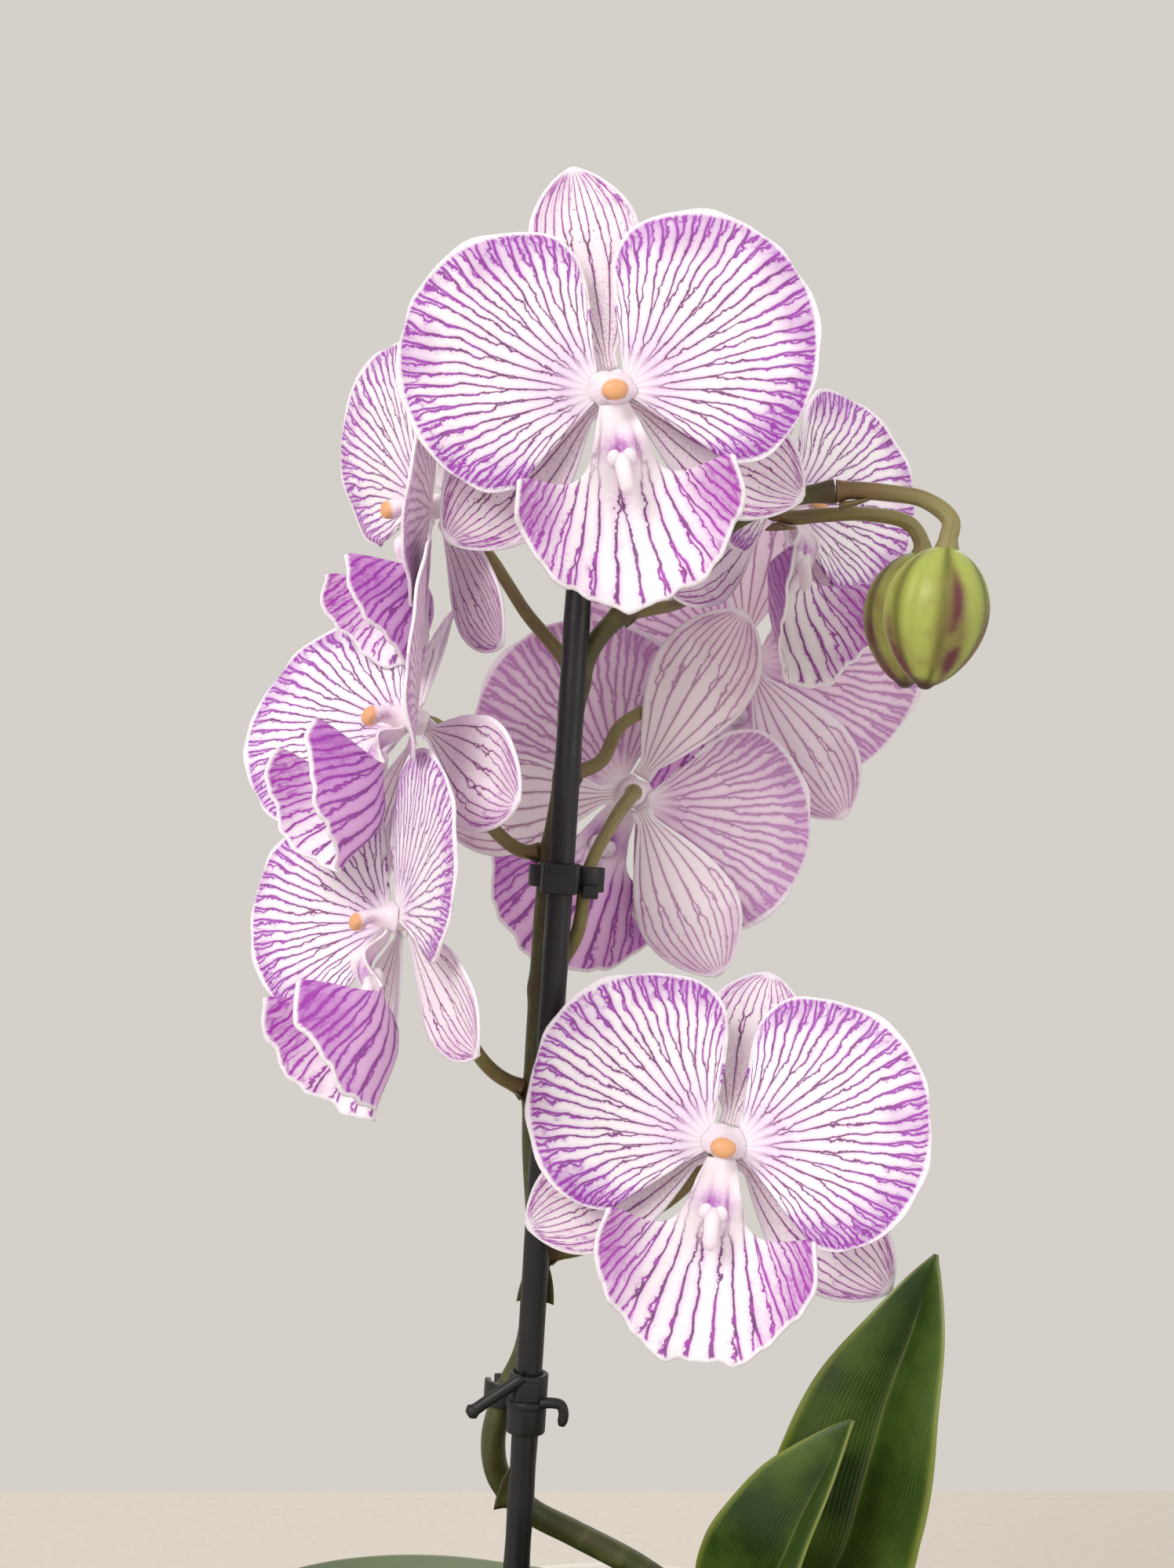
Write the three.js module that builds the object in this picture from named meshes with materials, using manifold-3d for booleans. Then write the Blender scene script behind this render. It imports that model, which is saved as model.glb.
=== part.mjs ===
// A potted moth orchid: pot, growing medium, leaves, one arching flower stem tied to a stake,
// eight open flowers and two buds. Millimetres, +Z up, origin at the middle of the pot's base.
import * as THREE from "three";
import { mergeVertices } from "three/addons/utils/BufferGeometryUtils.js";
import Module from "manifold-3d";

const wasm = await Module();
wasm.setup();

// ---- driving dimensions ----

const GAP = 0.3; // clearance between pieces that touch
const STALK_SIDES = 6; // sides of stems, stalks and roots
const ROUND_SIDES = 24; // sides of the pot and the medium

const POT_HEIGHT = 115;
const POT_RIM_RADIUS = 62;
const POT_BASE_RADIUS = 46;
const POT_WALL = 2.6;
const POT_FLOOR = 3.5;
const POT_LIP_HEIGHT = 12;
const POT_LIP_STEP = 1.8;
const DRAIN_HOLES = 5;
const DRAIN_RADIUS = 4.5;
const DRAIN_CIRCLE = 29;
const MEDIUM_BELOW_RIM = 3.6; // at the wall
const MEDIUM_DOME = 2.4; // rise from the wall to the middle

// The plant's own coordinates put the pot's rim at this height; the plant rises with the rim.
const RIM_DATUM = 115;
const LIFT = POT_HEIGHT - RIM_DATUM;

const STAKE_RADIUS = 2.8;
const STAKE_ABOVE_RIM = 238; // height of its top over the rim
const STAKE_OVER_FLOOR = 9.5; // height of its foot over the pot's floor
const STAKE_AT_RIM = new THREE.Vector2(-21.493, 0); // its middle line at the rim's height
const STAKE_LEAN = 3.65; // degrees from upright, towards the right

const CROWN_RADIUS = 8.5;
const CROWN_HEIGHT = 15;
const CROWN_AT = new THREE.Vector2(24, 4);
const CROWN_SUNK = 3;

const STEM_FOOT_RADIUS = 2.9;
const STEM_TIP_RADIUS = 1.9;

const PETAL_THICKNESS = 0.9;
const SEPAL_THICKNESS = 0.9;
const LIP_THICKNESS = 1.0;
const SEPAL_LENGTH = 47;
const SEPAL_WIDTH = 24;
const SEPAL_WAIST = 2.4; // half width where a sepal leaves its collar
const HUB_RADIUS = 3; // the receptacle behind the column
const COLUMN_LENGTH = 12;
const PEDICEL_RADIUS = 1.7;

const LEAF_THICKNESS = 1.9;
const ROOT_RADIUS = 2.4;

const CLIP_HEIGHT = 6.5;
const CLIP_WALL = 1.1;

// ---- small helpers ----

const vec = (x, y, z) => new THREE.Vector3(x, y, z);
const rad = THREE.MathUtils.degToRad;
const smooth = THREE.MathUtils.smoothstep;

function material(color, roughness, metalness = 0) {
  return new THREE.MeshStandardMaterial({ color, roughness, metalness });
}

const PETAL_SKIN = material(0xe9dcec, 0.55);
const SEPAL_SKIN = material(0xdcc3d2, 0.55);
const LIP_SKIN = material(0xd9a8dc, 0.5);
const COLUMN_SKIN = material(0xf0dde0, 0.5);
const STEM_SKIN = material(0x4c5a26, 0.5);
const BUD_SKIN = material(0x97a148, 0.45);
const LEAF_SKIN = material(0x2f4a1d, 0.35);
const ROOT_SKIN = material(0x9aa58b, 0.75);
const STAKE_SKIN = material(0x17171a, 0.4);
const POT_SKIN = material(0xe6e1d8, 0.45);
const MEDIUM_SKIN = material(0x5d4330, 0.95);

function named(name, geometry, skin) {
  const mesh = new THREE.Mesh(geometry, skin);
  mesh.name = name;
  return mesh;
}

// Six times the signed volume that an indexed geometry encloses.
function signedVolume(geometry) {
  const p = geometry.attributes.position;
  const index = geometry.index.array;
  let sum = 0;
  for (let i = 0; i < index.length; i += 3) {
    const [a, b, c] = [0, 1, 2].map((k) => new THREE.Vector3().fromBufferAttribute(p, index[i + k]));
    sum += a.dot(b.cross(c));
  }
  return sum;
}

// Merges shared corners and turns the faces outwards.
function sealed(geometry) {
  geometry.deleteAttribute("normal");
  geometry.deleteAttribute("uv");
  const merged = mergeVertices(geometry, 1e-4);
  if (signedVolume(merged) < 0) {
    const index = merged.index.array;
    for (let i = 0; i < index.length; i += 3) {
      [index[i + 1], index[i + 2]] = [index[i + 2], index[i + 1]];
    }
  }
  return merged;
}

function solid(geometry) {
  const merged = sealed(geometry.clone());
  return new wasm.Manifold(
    new wasm.Mesh({
      numProp: 3,
      vertProperties: merged.attributes.position.array,
      triVerts: new Uint32Array(merged.index.array),
    }),
  );
}

function fromSolid(manifold) {
  const mesh = manifold.getMesh();
  const geometry = new THREE.BufferGeometry();
  geometry.setAttribute("position", new THREE.BufferAttribute(mesh.vertProperties, 3));
  geometry.setIndex(new THREE.BufferAttribute(mesh.triVerts, 1));
  geometry.computeVertexNormals();
  return geometry;
}

// A thin closed blade: surface(s, t) is its middle, s from -1 to 1 across and t from 0 to 1 along.
function blade(across, along, thickness, surface) {
  const box = new THREE.BoxGeometry(2, 1, 1, across, along, 1);
  const p = box.attributes.position;
  const step = 1e-3;
  for (let i = 0; i < p.count; i += 1) {
    const s = p.getX(i);
    const t = p.getY(i) + 0.5;
    const overS = surface(s + step, t).sub(surface(s - step, t));
    const overT = surface(s, t + step).sub(surface(s, t - step));
    const normal = overS.cross(overT).normalize();
    const point = surface(s, t).addScaledVector(normal, p.getZ(i) * thickness);
    p.setXYZ(i, point.x, point.y, point.z);
  }
  return sealed(box);
}

// A closed round tube along a curve; radius(t) is its radius there.
function tube(curve, segments, sides, radius) {
  const body = new THREE.CylinderGeometry(1, 1, 1, sides, segments);
  const frames = curve.computeFrenetFrames(segments, false);
  const p = body.attributes.position;
  for (let i = 0; i < p.count; i += 1) {
    const t = p.getY(i) + 0.5;
    const k = Math.round(t * segments);
    const point = curve.getPointAt(t);
    point.addScaledVector(frames.normals[k], p.getX(i) * radius(t));
    point.addScaledVector(frames.binormals[k], p.getZ(i) * radius(t));
    p.setXYZ(i, point.x, point.y, point.z);
  }
  return sealed(body);
}

function lathe(points, sides) {
  const body = new THREE.LatheGeometry(points.map(([r, z]) => new THREE.Vector2(r, z)), sides);
  return body.rotateX(Math.PI / 2);
}

// ---- the flower stem ----

const stemCurve = new THREE.CatmullRomCurve3(
  [
    vec(24, 5, 121),
    vec(16, 8, 128),
    vec(6, 9, 135),
    vec(-8, 11.5, 141.5),
    vec(-17.5, 11.5, 146.5),
    vec(-24, 9, 154.5),
    vec(-25.2, 6.5, 164),
    vec(-22.8, 6.4, 173),
    vec(-18.2, 6.6, 183),
    vec(-15.6, 6.6, 203),
    vec(-16.6, 6.2, 230),
    vec(-15, 5.8, 264),
    vec(-13.4, 5.9, 285),
    vec(-9.6, 6.3, 308),
    vec(-4.6, 5.4, 333),
    vec(3, 1.5, 342),
    vec(12, -2.5, 349),
    vec(26.5, -5, 360.5),
    vec(38, -6, 365),
    vec(46.8, -6.5, 366.3),
  ],
  false,
  "centripetal",
);
const STEM_SEGMENTS = 42;
const stemRadius = (t) => THREE.MathUtils.lerp(STEM_FOOT_RADIUS, STEM_TIP_RADIUS, t);

// The stem's point at a given height on its upright part, found from the top down.
function stemAt(height) {
  let best = stemCurve.getPointAt(1);
  for (let t = 1; t >= 0; t -= 0.002) {
    const point = stemCurve.getPointAt(t);
    if (Math.abs(point.z - height) < Math.abs(best.z - height)) best = point;
  }
  return best;
}

const stemBody = solid(tube(stemCurve, STEM_SEGMENTS, STALK_SIDES, stemRadius));
const stemRoom = solid(tube(stemCurve, STEM_SEGMENTS, STALK_SIDES, (t) => stemRadius(t) + GAP));

// ---- flowers ----

// Half of a petal's rim, from its lower edge round the tip to its upper edge, on the right-hand side.
const petalRim = new THREE.SplineCurve(
  [
    [22.5, -18.5],
    [29, -18.5],
    [36.5, -13.8],
    [41.8, -5],
    [44, 5],
    [43, 15],
    [38, 24.5],
    [29, 31.5],
    [18.5, 34.2],
    [8.6, 33],
    [3.6, 27],
    [2.7, 17.5],
  ].map(([x, y]) => new THREE.Vector2(x, y)),
);
const PETAL_CLAW_RADIUS = HUB_RADIUS + 2 * GAP;
const PETAL_DISH = 0.0017; // forward curve along the petal, per millimetre squared
const PETAL_REST = 0.9; // height of the claw over the hub's middle

// The rim of the lip's right half, from its tip up to its side corner.
const lipRim = new THREE.SplineCurve(
  [
    [0, -46.4],
    [8.6, -44.6],
    [16, -40],
    [21.8, -33.2],
    [25.2, -26.4],
    [25.6, -20.5],
  ].map(([x, y]) => new THREE.Vector2(x, y)),
);
const LIP_HINGE = -HUB_RADIUS - 1.7 * GAP; // where the claw leaves the hub
const LIP_CLAW = 3.2; // half width of the claw

const along = (curve, t) => curve.getPoint(THREE.MathUtils.clamp(t, 0, 1));

// Folds a petal forward about the upright line through its claw, then turns it about the hub.
function petalSurface(side, cup, turn) {
  return (s, t) => {
    const rim = along(petalRim, (s + 1) / 2);
    const claw = rad(6 + 34 * s);
    const x = THREE.MathUtils.lerp(PETAL_CLAW_RADIUS * Math.cos(claw), rim.x, t);
    const y = THREE.MathUtils.lerp(PETAL_CLAW_RADIUS * Math.sin(claw), rim.y, t);
    const out = x - PETAL_CLAW_RADIUS;
    const lift = PETAL_DISH * out * out;
    const folded = vec(
      PETAL_CLAW_RADIUS + out * Math.cos(cup) - lift * Math.sin(cup),
      y,
      PETAL_REST + out * Math.sin(cup) + lift * Math.cos(cup),
    );
    folded.applyAxisAngle(vec(0, 0, 1), turn);
    folded.x *= side;
    return folded;
  };
}

function sepalSurface(direction, lean, length) {
  return (s, t) => {
    const bulge = Math.sin(Math.PI * THREE.MathUtils.clamp(t, 0, 1) ** 1.45) ** 0.66;
    const waist = Math.max(SEPAL_WAIST * (1 - 0.7 * t), 0.5);
    const half = Math.max((bulge * SEPAL_WIDTH) / 2, waist);
    const root = HUB_RADIUS + 1.2;
    const reach = THREE.MathUtils.lerp(root, SEPAL_LENGTH * length, t);
    const point = vec(reach, s * half, -2 - lean * (reach - root));
    return point.applyAxisAngle(vec(0, 0, 1), direction);
  };
}

function lipSurface(fold, size, tilt, turn) {
  return (s, t) => {
    const rim = along(lipRim, Math.abs(s));
    const reach = Math.hypot(rim.x, rim.y - LIP_HINGE);
    const spread = 0.4 + 0.6 * smooth(t, 0.36, 1);
    const angle = Math.atan2(rim.x, LIP_HINGE - rim.y) * spread;
    const width = Math.sin(angle) * reach * t + LIP_CLAW * Math.abs(s) * (1 - t);
    const bend = fold * (0.6 + (0.6 * width) / lipRim.points[5].x);
    const keel = 2 + 5 * smooth(t, 0, 0.2) - 6 * smooth(t, 0.2, 0.55) + 5.5 * smooth(t, 0.6, 1);
    const point = vec(
      Math.sign(s) * width * Math.cos(bend),
      -Math.cos(angle) * reach * t,
      keel + width * Math.sin(bend),
    );
    point.multiplyScalar(size).applyAxisAngle(vec(1, 0, 0), tilt);
    return point.add(vec(0, LIP_HINGE, 0)).applyAxisAngle(vec(0, 0, 1), turn);
  };
}

// The hub and the column that rises from it, about the flower's own forward axis.
function columnBody(size) {
  const profile = [
    [0, -3.4],
    [HUB_RADIUS, -2.4],
    [HUB_RADIUS, 1.6],
    [2.3, 3.6],
    [2.2, 7.8],
    [2.7, 9.2],
    [0, COLUMN_LENGTH],
  ];
  return lathe(profile, 8).scale(size, size, size);
}

// A ring that joins the three sepals behind the petals.
function sepalCollar() {
  const inner = HUB_RADIUS + GAP;
  const outer = HUB_RADIUS + 2.2;
  const profile = [
    [inner, -2.5],
    [outer, -2.5],
    [outer, -1.5],
    [inner, -1.5],
    [inner, -2.5],
  ];
  return lathe(profile, 8);
}

const STALK_IN_CLIP = vec(-4.8, 4.5, 286); // where the upper clip holds the last flower's stalk
const BEFORE_STAKE = -STAKE_RADIUS - 7.2; // the hub of the flower that lies in front of the stake

// Each flower: where its hub is, the way it faces (azimuth from the front towards the right, and
// elevation), its roll, its size, how far each petal folds forward and turns about the hub, the
// directions of its sepals, how they lean back and their relative lengths, how far the lip folds,
// its relative size, its tilt and its turn about the hub, and the route of its stalk from a height
// on the stem through way points to the hub.
const flowers = [
  {
    name: "flower_1",
    at: vec(0, -22, 384.5),
    azimuth: 2,
    elevation: -4,
    roll: 7,
    size: 0.96,
    cup: [6, 4],
    turn: [0, 0],
    sepals: [93, -35, 215],
    lean: [0.1, 0.1, 0.1],
    reach: [1.02, 1, 1],
    fold: 18,
    lip: [1, 0, 0],
    stalkFoot: 347,
    stalk: [vec(9, 3, 362), vec(4, -4, 379)],
  },
  {
    name: "flower_2",
    at: vec(23.5, BEFORE_STAKE, 230.5),
    azimuth: -4,
    elevation: 12,
    roll: -9,
    size: 0.96,
    cup: [12, 6],
    turn: [0, 0],
    sepals: [84, -32, 212],
    lean: [0.45, 0.1, 0.1],
    reach: [0.86, 1, 1],
    fold: 20,
    lip: [1, 0, 0],
    stalkFoot: 203,
    stalk: [vec(-6, 3, 205.7), vec(2, 2.5, 209.5), vec(14, 3, 217), vec(22, 1, 226)],
  },
  {
    name: "flower_3",
    at: vec(-39.5, 14, 366),
    azimuth: -68,
    elevation: 0,
    roll: -18,
    size: 0.92,
    cup: [22, 12],
    turn: [0, 8],
    sepals: [90, -30, 214],
    lean: [0.12, 0.12, 0.12],
    reach: [1, 1, 1],
    fold: 50,
    lip: [0.84, 0, 26],
    stalkFoot: 326,
    stalk: [vec(-11, 8.6, 333.5), vec(-18, 11, 342), vec(-25, 14.5, 353), vec(-32, 17, 362.5)],
  },
  {
    name: "flower_4",
    at: vec(-42, 0, 318.5),
    azimuth: -62,
    elevation: 12,
    roll: 17,
    size: 0.96,
    cup: [24, 34],
    turn: [0, -13],
    sepals: [108, -38, 220],
    lean: [0.3, 0.14, 0.14],
    reach: [0.72, 1, 1],
    fold: 50,
    lip: [0.86, -14, 0],
    stalkFoot: 291,
    stalk: [vec(-19, 8, 290.5), vec(-26, 10.5, 296), vec(-31, 10, 306), vec(-34, 6, 313.5)],
  },
  {
    name: "flower_5",
    at: vec(-44, -14, 277.5),
    azimuth: -64,
    elevation: 4,
    roll: 14,
    size: 0.86,
    cup: [0, 34],
    turn: [8, -8],
    sepals: [96, -50, 222],
    lean: [0.12, 0.12, 0.12],
    reach: [0.86, 1, 1],
    fold: 50,
    lip: [1.02, 0, 0],
    stalkFoot: 238,
    stalk: [vec(-24.5, 3, 243), vec(-29.5, -1, 250), vec(-34, -6, 264), vec(-38.5, -10.5, 274)],
  },
  {
    name: "flower_6",
    at: vec(40, 34, 370),
    azimuth: 52,
    elevation: 0,
    roll: -8,
    size: 0.94,
    cup: [14, 10],
    turn: [-6, 0],
    sepals: [98, -38, 218],
    lean: [0.1, -0.06, 0.1],
    reach: [1, 1, 1],
    fold: 22,
    lip: [1, 0, 0],
    stalkFoot: 341.5,
    stalk: [vec(8.5, 9, 343), vec(18, 24, 347), vec(28, 38, 358), vec(35, 38.5, 367)],
  },
  {
    name: "flower_7",
    at: vec(33, 62, 336),
    azimuth: 176,
    elevation: 0,
    roll: 16,
    size: 0.98,
    cup: [8, 8],
    turn: [-6, -14],
    sepals: [82, -34, 222],
    lean: [0.05, 0.1, 0.1],
    reach: [1, 1, 1],
    fold: 20,
    lip: [1, 0, -8],
    stalkFoot: 307,
    stalk: [vec(-2, 16.5, 310), vec(3, 26.5, 318.5), vec(17.5, 37, 326), vec(25, 49, 331)],
  },
  {
    name: "flower_8",
    at: vec(5.5, 36, 303),
    azimuth: 182,
    elevation: 0,
    roll: 36,
    size: 0.98,
    cup: [8, 8],
    turn: [-6, -14],
    sepals: [84, -41, 209],
    lean: [0.55, 0.1, 0.1],
    reach: [1, 1, 1],
    fold: 20,
    lip: [1, 0, -8],
    stalkFoot: 261,
    stalk: [vec(-7.5, 4.4, 272), STALK_IN_CLIP, vec(1, 17, 297), vec(4.4, 27, 301.5)],
  },
];

// The flower's own axes in the plant's frame: right, up and forward.
function flowerTurn({ azimuth, elevation, roll }) {
  const a = rad(azimuth);
  const e = rad(elevation);
  const forward = vec(Math.sin(a) * Math.cos(e), -Math.cos(a) * Math.cos(e), Math.sin(e));
  const right = vec(Math.cos(a), Math.sin(a), 0);
  const up = forward.clone().cross(right);
  const basis = new THREE.Matrix4().makeBasis(right, up, forward);
  return new THREE.Quaternion()
    .setFromRotationMatrix(basis)
    .multiply(new THREE.Quaternion().setFromAxisAngle(vec(0, 0, 1), rad(roll)));
}

function stalkCurve(flower) {
  const forward = vec(0, 0, 1).applyQuaternion(flowerTurn(flower));
  const neck = flower.at.clone().addScaledVector(forward, -6 * flower.size);
  const hub = flower.at.clone().addScaledVector(forward, -2.6 * flower.size);
  const foot = stemAt(flower.stalkFoot);
  return new THREE.CatmullRomCurve3([foot, ...flower.stalk, neck, hub], false, "centripetal");
}

function stalkBody(flower, extra) {
  return solid(tube(stalkCurve(flower), 10, STALK_SIDES, () => PEDICEL_RADIUS + extra));
}

function flowerGroup(flower) {
  const group = new THREE.Group();
  group.position.copy(flower.at);
  group.quaternion.copy(flowerTurn(flower));
  group.scale.setScalar(flower.size);
  const place = new THREE.Matrix4().compose(flower.at, group.quaternion, vec(1, 1, 1));

  let whorl = solid(sepalCollar());
  flower.sepals.forEach((direction, i) => {
    const surface = sepalSurface(rad(direction), flower.lean[i], flower.reach[i]);
    whorl = whorl.add(solid(blade(2, 5, SEPAL_THICKNESS, surface)));
  });
  group.add(named(`${flower.name}_sepals`, fromSolid(whorl), SEPAL_SKIN));

  const petals = [
    ["petal_right", 1],
    ["petal_left", -1],
  ];
  petals.forEach(([name, side], i) => {
    const surface = petalSurface(side, rad(flower.cup[i]), rad(flower.turn[i]));
    group.add(named(`${flower.name}_${name}`, blade(8, 3, PETAL_THICKNESS, surface), PETAL_SKIN));
  });
  const lip = lipSurface(rad(flower.fold), flower.lip[0], rad(flower.lip[1]), rad(flower.lip[2]));
  group.add(named(`${flower.name}_lip`, blade(6, 5, LIP_THICKNESS, lip), LIP_SKIN));

  const stalk = stalkBody(flower, 0);
  const column = solid(columnBody(flower.size).applyMatrix4(place));
  const joined = fromSolid(stalk.add(column).subtract(stemRoom));
  joined.applyMatrix4(new THREE.Matrix4().compose(flower.at, group.quaternion, group.scale).invert());
  group.add(named(`${flower.name}_column`, joined, COLUMN_SKIN));
  return group;
}

// ---- buds ----

const BUD_WIDTH = 21.5;
const BUD_HEIGHT = 29;
const buds = [
  {
    name: "bud_front",
    middle: vec(66.8, -13, 339.5),
    tip: vec(-0.16, 0.02, -1),
    stalk: [
      vec(47.15, -6.55, 366.3),
      vec(51, -6.9, 366.4),
      vec(57, -8, 365.8),
      vec(65, -10, 364),
      vec(70, -12, 359.5),
    ],
    radius: 1.9,
  },
  {
    name: "bud_rear",
    middle: vec(66, 10.5, 341),
    tip: vec(-0.12, 0.05, -1),
    stalk: [
      vec(33, -5.5, 363),
      vec(38, 0.5, 361.8),
      vec(46, 3, 362.6),
      vec(56, 6.5, 363.2),
      vec(65, 9, 361.5),
    ],
    radius: 1.65,
  },
];

function budBody(bud) {
  const egg = new THREE.SphereGeometry(1, 10, 8);
  const p = egg.attributes.position;
  for (let i = 0; i < p.count; i += 1) {
    const y = p.getY(i);
    const plump = 1 - 0.1 * y - 0.14 * y * y;
    const across = (plump * BUD_WIDTH) / 2;
    p.setXYZ(i, p.getX(i) * across, (y * BUD_HEIGHT) / 2, p.getZ(i) * across);
  }
  const down = bud.tip.clone().normalize();
  egg.applyQuaternion(new THREE.Quaternion().setFromUnitVectors(vec(0, 1, 0), down));
  egg.translate(bud.middle.x, bud.middle.y, bud.middle.z);
  const top = bud.middle.clone().addScaledVector(down, -BUD_HEIGHT / 2 + 2);
  const neck = bud.middle.clone().addScaledVector(down, -BUD_HEIGHT / 2 - 1.5);
  const curve = new THREE.CatmullRomCurve3([...bud.stalk, neck, top], false, "centripetal");
  const stalk = solid(tube(curve, 12, STALK_SIDES, () => bud.radius));
  return fromSolid(solid(egg).add(stalk).subtract(stemRoom));
}

// ---- stake and clips ----

const stakeLean = rad(STAKE_LEAN);

// The stake's middle line at a given height.
function stakeAt(height) {
  const rise = height - RIM_DATUM;
  return vec(STAKE_AT_RIM.x + rise * Math.tan(stakeLean), STAKE_AT_RIM.y, height);
}

function stakeBody(extra) {
  const r = STAKE_RADIUS + extra;
  const foot = stakeAt(POT_FLOOR + STAKE_OVER_FLOOR - LIFT);
  const length = (RIM_DATUM + STAKE_ABOVE_RIM - foot.z) / Math.cos(stakeLean);
  const profile = [
    [0, -extra],
    [r * 0.45, -extra],
    [r, 7],
    [r, length - 1],
    [r - 0.9, length],
    [0, length],
  ];
  const body = lathe(profile, 12);
  body.rotateY(stakeLean);
  return body.translate(foot.x, foot.y, foot.z);
}

// A round sleeve of a clip, in the clip's own frame, whose Z runs along the stake.
function sleeve(x, y, radius, height) {
  const body = new THREE.CylinderGeometry(radius, radius, height, 10);
  return solid(body.rotateX(Math.PI / 2).translate(x, y, 0));
}

function bar(from, to, radius) {
  return solid(tube(new THREE.LineCurve3(from, to), 1, STALK_SIDES, () => radius));
}

// Puts a clip's own frame on the stake at a height, leaning as the stake leans, and cuts the
// channels of what it holds.
function onStake(body, height, held) {
  const at = stakeAt(height);
  const geometry = fromSolid(body).rotateY(stakeLean).translate(at.x, at.y, at.z);
  return fromSolid(held.reduce((rest, room) => rest.subtract(room), solid(geometry)));
}

// Where something beside the stake crosses a clip, seen from the stake's middle line.
function besideStake(point, height) {
  const at = stakeAt(height);
  return new THREE.Vector2(point.x - at.x, point.y - at.y);
}

const CLIP_HOLD = STEM_FOOT_RADIUS + GAP + CLIP_WALL; // outer radius of a sleeve round the stem
const CLIP_EASE = 0.8; // extra room in the loop round a stalk
const CLIP_GRIP = STAKE_RADIUS + GAP + CLIP_WALL; // outer radius of a sleeve round the stake

function upperClip(held) {
  const height = 285;
  const stem = besideStake(stemAt(height), height);
  const stalk = besideStake(STALK_IN_CLIP, height);
  const loop = PEDICEL_RADIUS + GAP + CLIP_EASE;
  const block = new THREE.BoxGeometry(7.4, 2, CLIP_HEIGHT).translate(0, -CLIP_GRIP + 0.6, 0);
  const tab = new THREE.BoxGeometry(3.6, 2.6, 3).translate(stalk.x + 0.6, stalk.y - loop - 1.2, -2.6);
  const body = sleeve(0, 0, CLIP_GRIP, CLIP_HEIGHT)
    .add(sleeve(stem.x, stem.y, CLIP_HOLD, CLIP_HEIGHT - 2))
    .add(sleeve(stalk.x, stalk.y, loop + CLIP_WALL, CLIP_HEIGHT - 1))
    .add(solid(block))
    .add(solid(tab))
    .subtract(sleeve(stalk.x, stalk.y, loop, CLIP_HEIGHT * 2));
  return onStake(body, height, held);
}

function lowerClip(held) {
  const height = 173.7;
  const stem = besideStake(stemAt(height), height);
  const arm = vec(3, -2.6, 0);
  const elbow = vec(8, -2.6, 0);
  const body = sleeve(0, 0, CLIP_GRIP, CLIP_HEIGHT * 2)
    .add(sleeve(stem.x, stem.y, CLIP_HOLD + 0.6, CLIP_HEIGHT - 1))
    .add(bar(arm, elbow, 1.2))
    .add(bar(vec(7.4, -2.6, 0.8), vec(7.4, -2.6, -3.6), 1.2))
    .add(bar(vec(-1, -CLIP_GRIP + 0.4, 6), vec(-12.6, -4.8, -2.4), 1.25))
    .add(solid(new THREE.SphereGeometry(1.8, 8, 6).translate(-12.2, -4.8, -2)));
  return onStake(body, height, held);
}

// ---- crown, leaves and roots ----

const mediumTop = (r) => {
  const wall = POT_HEIGHT - MEDIUM_BELOW_RIM;
  return wall + MEDIUM_DOME * (1 - (r / POT_RIM_RADIUS) ** 2);
};
const crownFloor = mediumTop(CROWN_AT.length()) - LIFT - CROWN_SUNK;

function crownBody(extra) {
  const egg = new THREE.SphereGeometry(1, 10, 6);
  egg.scale(CROWN_RADIUS + extra, CROWN_RADIUS * 0.8 + extra, CROWN_HEIGHT / 2 + extra);
  return egg.translate(CROWN_AT.x, CROWN_AT.y, crownFloor + CROWN_HEIGHT / 2);
}

const crownRoom = solid(crownBody(GAP));

// Each leaf: its middle line from the crown outwards, the way its upper face looks, half its
// width, and how far its two halves fold up from flat.
const leaves = [
  {
    name: "leaf_right_tall",
    line: [
      vec(29, 2, 122),
      vec(38, -1, 130),
      vec(47.5, -6, 142),
      vec(52.5, -9, 159.5),
      vec(57, -12, 178),
      vec(62, -14, 193),
      vec(66.5, -15, 208.5),
    ],
    face: vec(-0.35, -1, 0.25),
    half: 25,
    fold: 48,
  },
  {
    name: "leaf_right_front",
    line: [
      vec(24.5, -3, 121),
      vec(28, -11, 130),
      vec(34, -20, 146),
      vec(39, -24, 159.5),
      vec(43, -25.5, 168),
      vec(48, -26.5, 178.5),
    ],
    face: vec(-0.9, -0.75, 0.25),
    half: 18,
    fold: 46,
  },
  {
    name: "leaf_left",
    line: [
      vec(18.6, 8.7, 119.8),
      vec(-2, 23, 119),
      vec(-26, 33, 118.6),
      vec(-60, 38, 118),
      vec(-90, 38, 113),
      vec(-114, 36, 102),
    ],
    face: vec(0.1, 0.08, 1),
    half: 24,
    fold: 3,
  },
  {
    name: "leaf_front_left",
    line: [
      vec(18.2, -0.3, 118),
      vec(2.6, -16.6, 123),
      vec(-12, -42, 129),
      vec(-30, -72, 129),
      vec(-44, -96, 118),
      vec(-54, -112, 101),
    ],
    face: vec(0.1, 0.1, 1),
    half: 22,
    fold: 18,
  },
  {
    name: "leaf_rear_right",
    line: [
      vec(31, 8, 117),
      vec(44, 21, 118.5),
      vec(58, 35, 119.5),
      vec(76, 49, 116),
      vec(92, 61, 104),
      vec(102, 69, 90),
    ],
    face: vec(0, 0.1, 1),
    half: 21,
    fold: 8,
  },
];

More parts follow.
